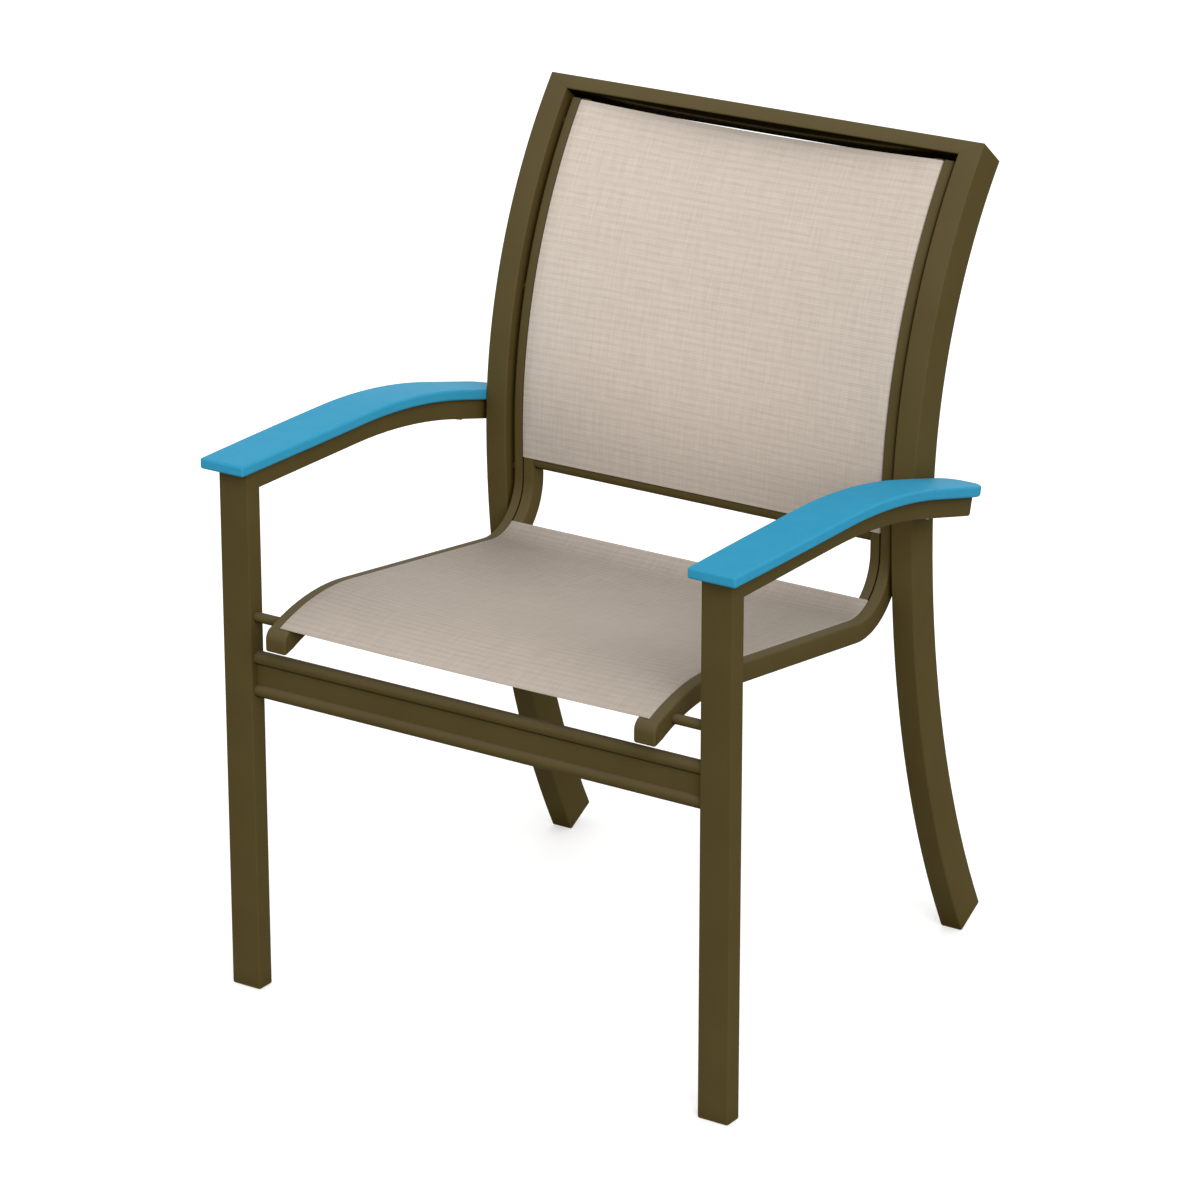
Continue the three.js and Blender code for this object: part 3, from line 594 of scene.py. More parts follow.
def nose_cap(side, sign, coat):
    """The blunt front end of the sling rail, rounded over its brow and chin."""
    top = ahead(NOSE_PLACE, 0, RAIL_HALF)
    foot = ahead(NOSE_PLACE, 0, -RAIL_HALF)
    x = sign * RAIL_X
    high = top[1] + RAIL_DEPTH
    low = NOSE_CHIN
    back = foot[0] + RAIL_DEPTH
    start_clean()
    bpy.ops.mesh.primitive_plane_add(
        size=1,
        location=(x - RAIL_WIDTH / 2, (back - NOSE_REACH) / 2, (high + low) / 2),
        rotation=(0, -math.pi / 2, 0),
    )
    piece = newest(f"rail_nose_{side}")
    piece.scale = (high - low, back + NOSE_REACH, 1)
    bpy.ops.object.transform_apply(location=True, rotation=True, scale=True)
    edit_all()
    run = Vector((0, math.cos(NOSE_DIP), math.sin(NOSE_DIP)))
    rise = Vector((0, -math.sin(NOSE_DIP), math.cos(NOSE_DIP)))
    joint = Vector((x, NOSE_PLACE[0], NOSE_PLACE[1]))
    chin = Vector((0, foot[0] + NOSE_REACH - RAIL_CORNER, foot[1] - NOSE_CHIN)).normalized()
    under = Vector((0, chin.z, -chin.y))
    for point, normal in (
        (joint - run * SEAM / 2, run),
        (joint + rise * RAIL_HALF, rise),
        (joint - rise * RAIL_HALF, under),
    ):
        bpy.ops.mesh.select_all(action="SELECT")
        bpy.ops.mesh.bisect(plane_co=point, plane_no=normal, clear_outer=True)

    brow_z = top[1] - (NOSE_REACH - RAIL_REACH) * math.tan(NOSE_DIP)
    select_points(lambda p: p.y < -NOSE_REACH + SEAM and p.z > brow_z - SEAM)
    bpy.ops.mesh.bevel(
        offset=(NOSE_REACH - RAIL_REACH) / math.cos(NOSE_DIP) * BROW_SHARE,
        segments=2 * EDGE_SEGMENTS,
        affect="VERTICES",
    )
    select_points(lambda p: p.y < -NOSE_REACH + SEAM and p.z < low + SEAM)
    bpy.ops.mesh.bevel(offset=RAIL_CORNER, segments=EDGE_SEGMENTS, affect="VERTICES")
    bpy.ops.mesh.select_all(action="SELECT")
    bpy.ops.mesh.extrude_region_move(TRANSFORM_OT_translate={"value": (RAIL_WIDTH, 0, 0)})
    settle()
    bpy.ops.object.mode_set(mode="EDIT")
    select_rim(piece, x, joint, run)
    bpy.ops.mesh.bevel(offset=NOSE_EDGE, segments=EDGE_SEGMENTS, affect="EDGES")
    settle()
    return finish_piece(piece, coat, "moulded_bronze", f"rail_nose_cap_{side}")


def select_rim(piece, x, joint, run):
    """Selects the cap's two side rims, but not the edges that meet the rail."""
    bpy.ops.mesh.select_mode(type="EDGE")
    bpy.ops.mesh.select_all(action="DESELECT")
    bpy.ops.object.mode_set(mode="OBJECT")
    points = piece.data.vertices
    for edge in piece.data.edges:
        a, b = (points[i].co for i in edge.vertices)
        on_side = abs(abs(a.x - x) - RAIL_WIDTH / 2) < SEAM and abs(a.x - b.x) < SEAM
        at_joint = all(abs((p - joint).dot(run) + SEAM / 2) < NEAR for p in (a, b))
        edge.select = on_side and not at_joint
    bpy.ops.object.mode_set(mode="EDIT")


# Cross members

ROUND_SIDES = 40
BOW_STEPS = 36


def round_bar(name, diameter, length, y, z):
    """A round bar across the chair, drawn from a disc at its right end."""
    start_clean()
    bpy.ops.mesh.primitive_circle_add(
        vertices=ROUND_SIDES,
        radius=diameter / 2,
        fill_type="NGON",
        location=(-length / 2, y, z),
        rotation=(0, math.pi / 2, 0),
    )
    piece = newest(name)
    bpy.ops.object.transform_apply(location=True, rotation=True, scale=True)
    edit_all()
    bpy.ops.mesh.extrude_region_move(TRANSFORM_OT_translate={"value": (length, 0, 0)})
    return piece


def front_rod(coat):
    """The thin bar from leg to leg through the sling rails."""
    piece = round_bar("front_rod", ROD_DIAMETER, 2 * LEG_INNER_X, ROD_Y, ROD_Z)
    settle()
    return finish_piece(piece, coat, "powder_coat", "front_cross_rod")


def front_stretcher(coat):
    """Two round beads and the flat web between them, joined into one piece."""
    length = 2 * LEG_INNER_X
    beads = []
    for sign in (1, -1):
        z = STRETCHER_HEIGHT + sign * STRETCHER_PITCH / 2
        bead = round_bar("front_stretcher_bead", BEAD_DIAMETER, length, LEG_DEPTH / 2, z)
        settle()
        beads.append(bead)
    start_clean()
    bpy.ops.mesh.primitive_cube_add(size=1, location=(0, LEG_DEPTH / 2, STRETCHER_HEIGHT))
    piece = newest("front_stretcher_bar")
    piece.scale = (length, WEB_THICKNESS, STRETCHER_PITCH)
    bpy.ops.object.transform_apply(location=True, rotation=True, scale=True)
    for bead in beads:
        joiner = piece.modifiers.new("bead", "BOOLEAN")
        joiner.operation = "UNION"
        joiner.solver = "EXACT"
        joiner.object = bead
        bpy.ops.object.modifier_apply(modifier="bead")
        bpy.data.objects.remove(bead)
    settle()
    return finish_piece(piece, coat, "powder_coat", "front_stretcher")


def back_spreader(coat):
    """The straight bar that holds the sling rails apart at the back."""
    piece = round_bar(
        "back_spreader", SPREADER_DIAMETER, 2 * RAIL_INNER_X, RAIL_AXIS_Y, BACK_SPREADER_HEIGHT
    )
    settle()
    return finish_piece(piece, coat, "powder_coat", "back_spreader_bar")


def seat_spreader(coat):
    """A round bar that bows down under the seat sling."""
    place = place_along(NOSE_PLACE, RAIL_RUNS, BEND_START - SEAT_SPREADER_SETBACK)
    half = RAIL_INNER_X
    start_clean()
    bpy.ops.mesh.primitive_circle_add(
        vertices=ROUND_SIDES,
        radius=SPREADER_DIAMETER / 2,
        fill_type="NGON",
        location=(-half, place[0], place[1]),
        rotation=(0, math.pi / 2, 0),
    )
    piece = newest("seat_spreader")
    bpy.ops.object.transform_apply(location=True, rotation=True, scale=True)
    edit_all()

    def bow(share):
        dip = SEAT_SPREADER_BOW * math.cos(share * math.pi / 2) ** 2
        return Vector((share * half, place[0], place[1] - dip))

    def lean(share):
        slope = SEAT_SPREADER_BOW * math.pi / 2 * math.sin(share * math.pi) / half
        return math.atan(slope)

    for i in range(BOW_STEPS):
        a, b = (-1 + 2 * i / BOW_STEPS, -1 + 2 * (i + 1) / BOW_STEPS)
        move = bow(b) - bow(a)
        bpy.ops.mesh.extrude_region_move(TRANSFORM_OT_translate={"value": move})
        bpy.ops.transform.rotate(
            value=lean(b) - lean(a), orient_axis="Y", center_override=bow(b)
        )
    settle()
    return finish_piece(piece, coat, "powder_coat", "seat_spreader_bar")


# Arm pads

PAD_STATIONS = 60
TAIL_STATIONS = 12
PAD_EDGE_SEGMENTS = 6
# The pad's rim is eased where its faces meet at more than this.
PAD_RIM_ANGLE = math.radians(40)
PAD_END_ANGLE = math.radians(60)


def pad_width(reach, total):
    """The pad's width at a place along it, which falls to the tail's end in a quarter ellipse."""
    t = reach / total
    if t < PAD_WIDEST_SHARE:
        end, ease = PAD_FRONT_WIDTH, (1 - t / PAD_WIDEST_SHARE) ** 2
    else:
        share = (t - PAD_WIDEST_SHARE) / (1 - PAD_WIDEST_SHARE)
        end, ease = PAD_REAR_WIDTH, share * share * (3 - 2 * share)
    width = PAD_WIDEST_WIDTH - (PAD_WIDEST_WIDTH - end) * ease
    tail = min(1, max(0, 1 - (total - reach) / PAD_TAIL_LENGTH))
    return PAD_TAIL_END + (width - PAD_TAIL_END) * math.sqrt(1 - tail**2)


def arm_pad(side, sign, polymer):
    """A thick polymer strip that follows the arm rail, eased in width, with a rounded rear end."""
    x = sign * (LEG_X + PAD_OUTSET)
    rise = LEG_DEPTH / 2 + SEAM / 2 + PAD_THICKNESS / 2
    total = PAD_OVERHANG + length_of(ARM_RUNS) + PAD_REAR_OVERHANG
    runs = (
        ("straight", ARM_STRAIGHT + PAD_OVERHANG, 0),
        ARM_RUNS[1],
        ("straight", ARM_TAIL + PAD_REAR_OVERHANG, 0),
    )
    start = ahead(ARM_PLACE, -PAD_OVERHANG)
    first = ahead(start, 0, rise)
    start_clean()
    bpy.ops.mesh.primitive_plane_add(
        size=1, location=(x, first[0], first[1]), rotation=(first[2] + math.pi / 2, 0, 0)
    )
    piece = newest(f"arm_pad_moulding_{side}")
    width = pad_width(0, total)
    piece.scale = (width, PAD_THICKNESS, 1)
    bpy.ops.object.transform_apply(location=True, rotation=True, scale=True)
    edit_all()
    body = total - PAD_TAIL_LENGTH
    reaches = [body * (i + 1) / PAD_STATIONS for i in range(PAD_STATIONS)]
    for i in range(TAIL_STATIONS):
        turn = (i + 1) / TAIL_STATIONS * math.pi / 2
        reaches.append(body + PAD_TAIL_LENGTH * math.sin(turn))
    before = first
    for reach in reaches:
        after = ahead(place_along(start, runs, reach), 0, rise)
        move = (0, after[0] - before[0], after[1] - before[1])
        bpy.ops.mesh.extrude_region_move(TRANSFORM_OT_translate={"value": move})
        centre = (x, after[0], after[1])
        turn = after[2] - before[2]
        if turn:
            bpy.ops.transform.rotate(value=-turn, orient_axis="X", center_override=centre)
        wider = pad_width(reach, total)
        bpy.ops.transform.resize(value=(wider / width, 1, 1), center_override=centre)
        width = wider
        before = after
    settle(PAD_END_ANGLE)
    tail = ahead(place_along(start, runs, body), 0, rise)
    origin = Vector((x, tail[0], tail[1]))
    run = Vector((0, math.cos(tail[2]), math.sin(tail[2])))
    up = Vector((0, -run.z, run.y))
    bpy.ops.object.mode_set(mode="EDIT")
    for surface in (PAD_THICKNESS / 2, -PAD_THICKNESS / 2):
        select_faces(
            lambda centre, surface=surface: (centre - origin).dot(run) > 0
            and abs((centre - origin).dot(up) - surface) < NEAR
        )
        bpy.ops.mesh.dissolve_faces()
    bpy.ops.mesh.select_all(action="DESELECT")
    bpy.ops.mesh.select_mode(type="EDGE")
    bpy.ops.mesh.edges_select_sharp(sharpness=PAD_RIM_ANGLE)
    bpy.ops.mesh.bevel(offset=PAD_EDGE, segments=PAD_EDGE_SEGMENTS, affect="EDGES")
    settle(ROUND_ANGLE)
    return finish_piece(piece, polymer, "arm_pad", f"arm_pad_{side}")


# Materials


def linear(colour):
    """An sRGB hex colour as Blender's linear RGBA."""
    channels = [int(colour[i : i + 2], 16) / 255 for i in (0, 2, 4)]
    return (
        *(c / 12.92 if c <= 0.04045 else ((c + 0.055) / 1.055) ** 2.4 for c in channels),
        1,
    )


class Finish:
    """A material under construction, with its nodes and the shader that they feed."""

    def __init__(self, name):
        self.material = bpy.data.materials.new(name)
        self.material.use_nodes = True
        self.tree = self.material.node_tree
        self.shader = self.tree.nodes["Principled BSDF"]

    def add(self, kind, settings=None, **links):
        """Adds a node. Settings are its properties, and links go to its sockets, each by
        name or, where names repeat, by number, as in _6."""
        node = self.tree.nodes.new(kind)
        for key, value in (settings or {}).items():
            setattr(node, key, value)
        for key, value in links.items():
            self.feed(node, key, value)
        return node

    def feed(self, node, key, value):
        name = key.replace("_", " ")
        socket = node.inputs[int(key[1:])] if key[1:].isdigit() else node.inputs[name]
        if isinstance(value, bpy.types.NodeSocket):
            self.tree.links.new(value, socket)
        else:
            socket.default_value = value

    def shade(self, **links):
        for key, value in links.items():
            self.feed(self.shader, key, value)
        return self.material


# Open air is the share of its surroundings that a place sees, from 0 deep in a nook to 1.
AIR_SAMPLES = 8

PEEL_PITCH = 2.2 * MM
CLOUD_PITCH = 60 * MM
SPECK_PITCH = 1.1 * MM
SPECK_SHARE = 0.16
# Share of painted light on the faces that look up.
TOP_LIGHT_SHARE = 0.17
# Where open air is short, between the tubes, the coat gets painted shade and is rougher.
NOOK_REACH = 50 * MM
NOOK_AIR = 0.2
NOOK_END_AIR = 0.72
NOOK_SHARE = 0.95
# A face gets a painted near-black shade where it looks steeply down, by its normal's Z, and open
# air is short.
ROOFED_STEEP = -0.75
ROOFED_END_STEEP = -0.5
ROOFED_AIR = 0.85
ROOFED_END_AIR = 0.98


def powder_coat():
    """Polyester powder coat on aluminium: satin, with the fine orange peel of baked powder.
    Painted light pales the faces that look up, painted shade darkens the dull nooks between
    the tubes, and painted shade makes the top rail's underside over the cloth nearly black."""
    f = Finish("satin_bronze_powder_coat_on_aluminium")
    where = f.add("ShaderNodeTexCoord").outputs["Object"]
    peel = f.add("ShaderNodeTexNoise", Vector=where, Scale=1 / PEEL_PITCH, Detail=2.0)
    cloud = f.add("ShaderNodeTexNoise", Vector=where, Scale=1 / CLOUD_PITCH, Detail=3.0)
    grain = f.add("ShaderNodeTexNoise", Vector=where, Scale=1 / SPECK_PITCH, Detail=1.0)
    tone = f.add(
        "ShaderNodeMix",
        {"data_type": "RGBA"},
        _0=cloud.outputs["Fac"],
        _6=linear("574a29"),
        _7=linear("605431"),
    )
    speck = f.add(
        "ShaderNodeMix",
        {"data_type": "RGBA", "blend_type": "MULTIPLY"},
        _0=SPECK_SHARE,
        _6=tone.outputs[2],
        _7=grain.outputs["Color"],
    )
    facing = f.add("ShaderNodeNewGeometry").outputs["Normal"]
    upward = f.add("ShaderNodeSeparateXYZ", Vector=facing).outputs["Z"]
    # Painted light: faces that look up are mixed towards pale grey, as if lit from above.
    painted_top_light = f.add("ShaderNodeMapRange", Value=upward, To_Max=TOP_LIGHT_SHARE)
    top_lit = f.add(
        "ShaderNodeMix",
        {"data_type": "RGBA"},
        _0=painted_top_light.outputs["Result"],
        _6=speck.outputs[2],
        _7=linear("8f8878"),
    )
    open_air = f.add(
        "ShaderNodeAmbientOcclusion", {"samples": AIR_SAMPLES}, Distance=NOOK_REACH
    )
    # Painted shade: the colour is mixed towards dark bronze where open air is short; the coat is
    # also rougher there.
    nook = f.add(
        "ShaderNodeMapRange",
        Value=open_air.outputs["AO"],
        From_Min=NOOK_AIR,
        From_Max=NOOK_END_AIR,
        To_Min=NOOK_SHARE,
        To_Max=0.0,
    )
    nook_shaded = f.add(
        "ShaderNodeMix",
        {"data_type": "RGBA"},
        _0=nook.outputs["Result"],
        _6=top_lit.outputs[2],
        _7=linear("4a3c18"),
    )
    # Painted shade: faces that look steeply down with short open air, such as the top rail's
    # underside over the cloth, are mixed to near-black and lose their gleam.
    falls = []
    for value, full, end in (
        (upward, ROOFED_STEEP, ROOFED_END_STEEP),
        (open_air.outputs["AO"], ROOFED_AIR, ROOFED_END_AIR),
    ):
        fall = f.add(
            "ShaderNodeMapRange", Value=value, From_Min=full, From_Max=end, To_Min=1.0, To_Max=0.0
        )
        falls.append(fall.outputs["Result"])
    painted_under_shade = f.add("ShaderNodeMath", {"operation": "MULTIPLY"}, _0=falls[0], _1=falls[1])
    shaded = f.add(
        "ShaderNodeMix",
        {"data_type": "RGBA"},
        _0=painted_under_shade.outputs[0],
        _6=nook_shaded.outputs[2],
        _7=linear("120c00"),
    )
    gleam = f.add("ShaderNodeMapRange", Value=painted_under_shade.outputs[0], To_Min=0.5, To_Max=0.0)
    satin = f.add("ShaderNodeMapRange", Value=cloud.outputs["Fac"], To_Min=0.5, To_Max=0.6)
    rough = f.add(
        "ShaderNodeMath",
        {"operation": "MAXIMUM"},
        _0=satin.outputs["Result"],
        _1=nook.outputs["Result"],
    )
    bump = f.add(
        "ShaderNodeBump", Strength=0.12, Distance=0.06 * MM, Height=peel.outputs["Fac"]
    )
    return f.shade(
        Base_Color=shaded.outputs[2],
        Roughness=rough.outputs[0],
        IOR=1.05,
        Specular_IOR_Level=gleam.outputs["Result"],
        Normal=bump.outputs["Normal"],
    )


MOTTLE_PITCH = 25 * MM
SKIN_PITCH = 1.4 * MM


def arm_polymer():
    """Moulded polymer arm pad: satin blue, with a faint mottle from the mould."""
    f = Finish("satin_blue_moulded_polymer")
    where = f.add("ShaderNodeTexCoord").outputs["Object"]
    mottle = f.add("ShaderNodeTexNoise", Vector=where, Scale=1 / MOTTLE_PITCH, Detail=4.0)
    skin = f.add("ShaderNodeTexNoise", Vector=where, Scale=1 / SKIN_PITCH, Detail=2.0)
    tone = f.add(
        "ShaderNodeMix",
        {"data_type": "RGBA"},
        _0=mottle.outputs["Fac"],
        _6=linear("3398be"),
        _7=linear("3ca0c6"),
    )
    bump = f.add("ShaderNodeBump", Strength=0.1, Distance=0.05 * MM, Height=skin.outputs["Fac"])
    return f.shade(
        Base_Color=tone.outputs[2],
        Roughness=0.55,
        IOR=1.07,
        Normal=bump.outputs["Normal"],
    )


FIBRE_PITCH = 1.2 * MM


def moulded_nylon():
    """Glass-filled nylon of the plugs and glides: dull, near the frame's colour."""
    f = Finish("dull_bronze_moulded_nylon")
    where = f.add("ShaderNodeTexCoord").outputs["Object"]
    fibre = f.add("ShaderNodeTexNoise", Vector=where, Scale=1 / FIBRE_PITCH, Detail=3.0)
    tone = f.add(
        "ShaderNodeMix",
        {"data_type": "RGBA"},
        _0=fibre.outputs["Fac"],
        _6=linear("524521"),
        _7=linear("5a4d28"),
    )
    bump = f.add("ShaderNodeBump", Strength=0.15, Distance=0.05 * MM, Height=fibre.outputs["Fac"])
    return f.shade(
        Base_Color=tone.outputs[2],
        Roughness=0.6,
        IOR=1.1,
        Normal=bump.outputs["Normal"],
    )


FLOW_PITCH = 6 * MM


def spline_cord():
    """Extruded PVC cord in the hems: smooth, off-white."""
    f = Finish("off_white_extruded_pvc_cord")
    where = f.add("ShaderNodeTexCoord").outputs["Object"]
    flow = f.add("ShaderNodeTexNoise", Vector=where, Scale=1 / FLOW_PITCH, Detail=1.0)
    tone = f.add(
        "ShaderNodeMix",
        {"data_type": "RGBA"},
        _0=flow.outputs["Fac"],
        _6=linear("cfc8bc"),
        _7=linear("ddd7cc"),
    )
    return f.shade(Base_Color=tone.outputs[2], Roughness=0.5, IOR=1.54)


MARK_PITCH = 0.6 * MM


def screw_steel():
    """Stainless steel of the pad screws: pressed heads, brighter and duller in small spots."""
    f = Finish("pressed_stainless_steel")
    where = f.add("ShaderNodeTexCoord").outputs["Object"]
    marks = f.add("ShaderNodeTexNoise", Vector=where, Scale=1 / MARK_PITCH, Detail=2.0)
    rough = f.add("ShaderNodeMapRange", Value=marks.outputs["Fac"], To_Min=0.28, To_Max=0.45)
    return f.shade(
        Base_Color=linear("a3a39f"), Metallic=1.0, Roughness=rough.outputs["Result"]
    )


# The real yarns lie about 1.3 mm apart and are drawn twice as coarse, so that they show from
# across a room.
RIB_PITCH = 8.1 * MM
PICK_PITCH = RIB_PITCH / 3
END_PITCH = 2.9 * MM
RIB_BREAK = 14 * MM
SLUB_LENGTH = 40 * MM
# A rib or yarn shows where its wave, from -1 to 1, is over its floor.
RIB_FLOOR = -0.4
YARN_FLOOR = -1.0
RIB_DEPTH = 0.2
GRID_DEPTH = 0.07
SLUB_DEPTH = 0.3
# Painted shade: its share on the seat, the normal's Z where it starts, and the reach of the
# corner's shade.
SEAT_SHADE = 0.38
SEAT_SHADE_FROM = 0.6
CORNER_SHADE_REACH = 250 * MM


def woven_mesh():
    """Woven mesh of PVC-coated polyester yarns: matt, warm grey, with a soft rib across the
    chair at every third pick. Painted shade makes the level seat greyer than the back, and
    painted shade darkens the cloth in the corner where the seat meets the back."""
    f = Finish("woven_pvc_coated_polyester_mesh")
    cloth = f.add("ShaderNodeUVMap", {"uv_map": "cloth"}).outputs["UV"]
    along = f.add("ShaderNodeSeparateXYZ", Vector=cloth).outputs
    swells = []
    for coordinate, pitch, start in (
        (along["Y"], RIB_PITCH, RIB_FLOOR),
        (along["Y"], PICK_PITCH, YARN_FLOOR),
        (along["X"], END_PITCH, YARN_FLOOR),
    ):
        turns = f.add(
            "ShaderNodeMath", {"operation": "MULTIPLY"}, _0=coordinate, _1=2 * math.pi / pitch
        )
        swing = f.add("ShaderNodeMath", {"operation": "SINE"}, _0=turns.outputs[0])
        lifted = f.add("ShaderNodeMapRange", Value=swing.outputs[0], From_Min=start)
        swells.append(lifted.outputs["Result"])
    rib, pick, end = swells
    streaks = []
    for scale, detail in (
        ((1 / RIB_BREAK, 1 / PICK_PITCH, 1), 2.0),
        ((1 / SLUB_LENGTH, 1 / PICK_PITCH, 1), 1.0),
        ((1 / END_PITCH, 1 / SLUB_LENGTH, 1), 1.0),
    ):
        drawn = f.add("ShaderNodeMapping", Vector=cloth, Scale=scale)
        noise = f.add("ShaderNodeTexNoise", Vector=drawn.outputs[0], Scale=1.0, Detail=detail)
        streaks.append(noise.outputs["Fac"])
    breaks, weft, warp = streaks
    dash = f.add("ShaderNodeMath", {"operation": "MULTIPLY"}, _0=rib, _1=breaks)
    grid = f.add("ShaderNodeMath", {"operation": "ADD"}, _0=pick, _1=end)
    slubs = f.add("ShaderNodeMath", {"operation": "ADD"}, _0=weft, _1=warp)
    shadow = 0.0
    for part, amount in ((dash, RIB_DEPTH), (grid, GRID_DEPTH), (slubs, SLUB_DEPTH)):
        added = f.add(
            "ShaderNodeMath",
            {"operation": "MULTIPLY_ADD"},
            _0=part.outputs[0],
            _1=amount,
            _2=shadow,
        )
        shadow = added.outputs[0]
    tone = f.add(
        "ShaderNodeMix",
        {"data_type": "RGBA", "clamp_factor": True},
        _0=shadow,
        _6=linear("ebded0"),
        _7=linear("afa295"),
    )
    facing = f.add("ShaderNodeNewGeometry").outputs["Normal"]
    upward = f.add("ShaderNodeSeparateXYZ", Vector=facing).outputs["Z"]
    # Painted shade: faces that look up, the seat, are multiplied towards grey.
    painted_seat_shade = f.add("ShaderNodeMapRange", Value=upward, From_Min=SEAT_SHADE_FROM, To_Max=SEAT_SHADE)
    seat_shaded = f.add(
        "ShaderNodeMix",
        {"data_type": "RGBA", "blend_type": "MULTIPLY"},
        _0=painted_seat_shade.outputs["Result"],
        _6=tone.outputs[2],
        _7=linear("8c8984"),
    )
    # Painted shade: where open air is short, in the corner between the seat and the back, the
    # cloth is multiplied towards dark grey.
    open_air = f.add(
        "ShaderNodeAmbientOcclusion", {"samples": AIR_SAMPLES}, Distance=CORNER_SHADE_REACH
    )
    painted_corner_shade = f.add(
        "ShaderNodeMapRange", Value=open_air.outputs["AO"], To_Min=1.0, To_Max=0.0
    )
    corner_shaded = f.add(
        "ShaderNodeMix",
        {"data_type": "RGBA", "blend_type": "MULTIPLY"},
        _0=painted_corner_shade.outputs["Result"],
        _6=seat_shaded.outputs[2],
        _7=linear("2a2826"),
    )
    relief = f.add("ShaderNodeMath", {"operation": "ADD"}, _0=rib, _1=grid.outputs[0])
    bump = f.add(
        "ShaderNodeBump",
        {"invert": True},
        Strength=0.3,
        Distance=0.2 * MM,
        Height=relief.outputs[0],
    )
    return f.shade(
        Base_Color=corner_shaded.outputs[2],
        Roughness=0.75,
        Specular_IOR_Level=0.2,
        Normal=bump.outputs["Normal"],
    )


# Slings

SPLINE_PLAY = 0.15 * MM
HEM_RADIUS = SPLINE_DIAMETER / 2 + SPLINE_PLAY + CLOTH_THICKNESS / 2
HEM_END = math.radians(295)
HEM_STEPS = 12
GROOVE_DEPTH = GROOVE_LIP + math.sqrt(GROOVE_RADIUS**2 - (GROOVE_MOUTH / 2) ** 2)
CLOTH_RISE = RAIL_HALF + SEAM + CLOTH_THICKNESS / 2
TURN_IN = 1.4 * MM
TURN_STEPS = 3
LANES = 96
ROWS = 90


def cloth_section(sag):
    """The cloth's middle line across the chair as (x, rise), from hem to hem."""
    groove = RAIL_HALF - GROOVE_DEPTH
    hook = []
    for i in range(HEM_STEPS):
        turn = HEM_END * (1 - i / HEM_STEPS)
        hook.append((RAIL_X + HEM_RADIUS * math.sin(turn), groove + HEM_RADIUS * math.cos(turn)))
    neck = [(RAIL_X, groove + HEM_RADIUS), (RAIL_X, CLOTH_RISE - TURN_IN)]
    for i in range(TURN_STEPS):
        turn = (i + 1) / TURN_STEPS * math.pi / 2
        x = RAIL_X - TURN_IN * (1 - math.cos(turn))
        neck.append((x, CLOTH_RISE - TURN_IN * (1 - math.sin(turn))))
    right = hook + neck
    lanes = []
    for i in range(LANES + 1):
        share = 1 - 2 * i / LANES
        lanes.append((share * RAIL_INNER_X, CLOTH_RISE - sag * (1 - share**2)))
    left = [(-x, rise) for x, rise in reversed(right)]
    return right + lanes + left


def sling(name, start, end, mid_sag, start_sag, end_sag):
    """A stretched panel: rows follow the sling rails, and the middle sinks between them."""
    points, uvs, faces = [], [], []
    count = 0
    for row in range(ROWS + 1):
        t = row / ROWS
        reach = start + (end - start) * t
        place = place_along(NOSE_PLACE, RAIL_RUNS, reach)
        edge = start_sag + (end_sag - start_sag) * t
        section = cloth_section(edge + (mid_sag - edge) * math.sin(math.pi * t))
        count = len(section)
        across = 0.0
        for i, (x, rise) in enumerate(section):
            if i:
                across += math.dist(section[i - 1], section[i])
            y, z, _ = ahead(place, 0, rise)
            points.append((x, y, z))
            uvs.append((across, reach))
    for row in range(ROWS):
        for i in range(count - 1):
            a = row * count + i
            faces.append((a, a + count, a + count + 1, a + 1))
    mesh = bpy.data.meshes.new(name)
    mesh.from_pydata(points, [], faces)
    layer = mesh.uv_layers.new(name="cloth")
    for loop in mesh.loops:
        layer.data[loop.index].uv = uvs[loop.vertex_index]
    piece = bpy.data.objects.new(name, mesh)
    bpy.context.scene.collection.objects.link(piece)
    start_clean()
    piece.select_set(True)
    bpy.context.view_layer.objects.active = piece
    thick = piece.modifiers.new("thickness", "SOLIDIFY")
    thick.thickness = CLOTH_THICKNESS
    thick.offset = 0
    thick.use_even_offset = True
    bpy.ops.object.modifier_apply(modifier="thickness")
    settle(ROUND_ANGLE)
    return piece


# Floor and light

FLOOR_SIZE = 60
FLOOR_GAP = 0.5 * MM
FLOOR_GLOW = 0.38
WORLD_LEVEL = 0.72


def seen_directly(f):
    """1 for rays from the camera, or by way of a reflection or glass, and 0 for other light."""
    path = f.add("ShaderNodeLightPath").outputs
    mirrored = f.add(
        "ShaderNodeMath",
        {"operation": "ADD", "use_clamp": True},
        _0=path["Is Glossy Ray"],
        _1=path["Is Transmission Ray"],
    )
    return f.add(
        "ShaderNodeMath",
        {"operation": "ADD", "use_clamp": True},
        _0=path["Is Camera Ray"],
        _1=mirrored.outputs[0],
    ).outputs[0]


def add_floor():
    """Pale studio paper that keeps the chair's shadow and passes little light back up."""
    start_clean()
    bpy.ops.mesh.primitive_plane_add(size=FLOOR_SIZE, location=(0, 0, -FLOOR_GAP))
    floor = newest("studio_floor")
    f = Finish("white_studio_paper")
    seen = seen_directly(f)
    colour = f.add(
        "ShaderNodeMix",
        {"data_type": "RGBA"},
        _0=seen,
        _6=linear("909090"),
        _7=linear("f4f4f4"),
    )
    glow = f.add("ShaderNodeMath", {"operation": "MULTIPLY"}, _0=seen, _1=FLOOR_GLOW)
    f.shade(
        Base_Color=colour.outputs[2],
        Roughness=1.0,
        Specular_IOR_Level=0.0,
        Emission_Color=(1, 1, 1, 1),
        Emission_Strength=glow.outputs[0],
    )
    floor.data.materials.append(f.material)


class Surround(Finish):
    """The world's nodes under construction."""

    def __init__(self, name):
        self.material = bpy.data.worlds.new(name)
        self.material.use_nodes = True
        self.tree = self.material.node_tree
        self.shader = self.tree.nodes["Background"]


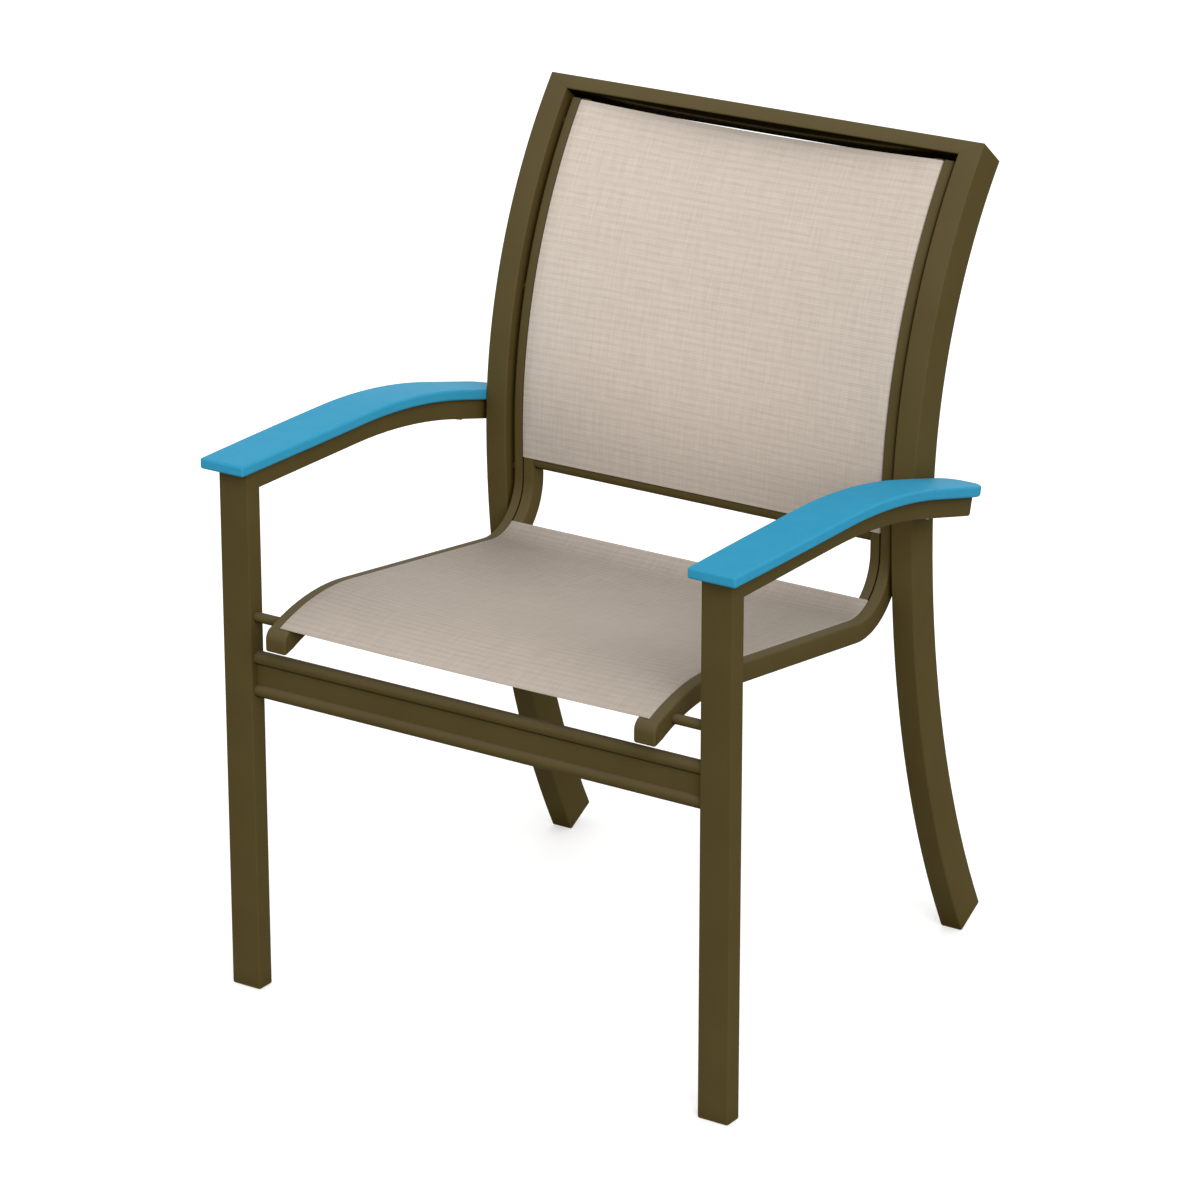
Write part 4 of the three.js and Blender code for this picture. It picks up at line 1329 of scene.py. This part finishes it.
def add_world():
    """An even white surround, seen at full strength and dimmer as a light."""
    f = Surround("studio_surround")
    strength = f.add(
        "ShaderNodeMapRange", Value=seen_directly(f), To_Min=WORLD_LEVEL, To_Max=1.0
    )
    f.shade(Color=(1, 1, 1, 1), Strength=strength.outputs["Result"])
    bpy.context.scene.world = f.material


# Each lamp has its name, its azimuth from the chair's front, its height and its breadth in
# degrees, and its strength. The key lights the front and the chair's left side, and the rear
# one keeps the far faces from going black.
LAMPS = (
    ("key_softbox", 50, 30, 45, 1.6),
    ("rear_softbox", 205, 10, 50, 1.0),
)


def add_sun(name, azimuth, height, angle, strength):
    """A broad, even lamp whose light comes from an azimuth, 0 at the chair's front."""
    data = bpy.data.lights.new(name, "SUN")
    data.angle = math.radians(angle)
    data.energy = strength
    lamp = bpy.data.objects.new(name, data)
    lamp.rotation_euler = (math.radians(90 - height), 0, math.radians(azimuth))
    bpy.context.scene.collection.objects.link(lamp)


# Build

add_camera()
add_floor()
add_world()
for lamp in LAMPS:
    add_sun(*lamp)

coat = powder_coat()
nylon = moulded_nylon()
polymer = arm_polymer()
mesh_cloth = woven_mesh()
cord = spline_cord()
steel = screw_steel()

for side, sign in SIDES:
    front_leg(side, sign, coat)
    arm_rail(side, sign, coat)
    upright(side, sign, coat)
    sling_rail(side, sign, coat)
    nose_cap(side, sign, coat)
    arm_plug(side, sign, nylon)
    arm_pad(side, sign, polymer)
top_rail(coat)
front_rod(coat)
front_stretcher(coat)
back_spreader(coat)
seat_spreader(coat)

seat_end = BEND_START + BEND_AXIS_RADIUS * SEAT_REAR_TURN
seat = sling("seat_sling_cloth", SEAT_FRONT_MARGIN, seat_end, SEAT_SAG, SEAT_FRONT_SAG, 0)
finish_piece(seat, mesh_cloth, "mesh_fabric", "seat_sling")
back_start = BEND_END + BACK_FOOT_HEIGHT - SEAT_BEND_TOP
back_end = length_of(RAIL_RUNS) - BACK_TOP_MARGIN
back = sling("back_sling_cloth", back_start, back_end, BACK_SAG, BACK_FOOT_SAG, BACK_TOP_SAG)
finish_piece(back, mesh_cloth, "mesh_fabric", "back_sling")

for name, node in nodes.items():
    if "spline" in name:
        finish = cord
    elif name.startswith("pad_screw"):
        finish = steel
    elif "glide" in name:
        finish = nylon
    else:
        finish = coat
    for slot in node.material_slots:
        slot.material = finish

bpy.context.scene.view_settings.view_transform = "Standard"
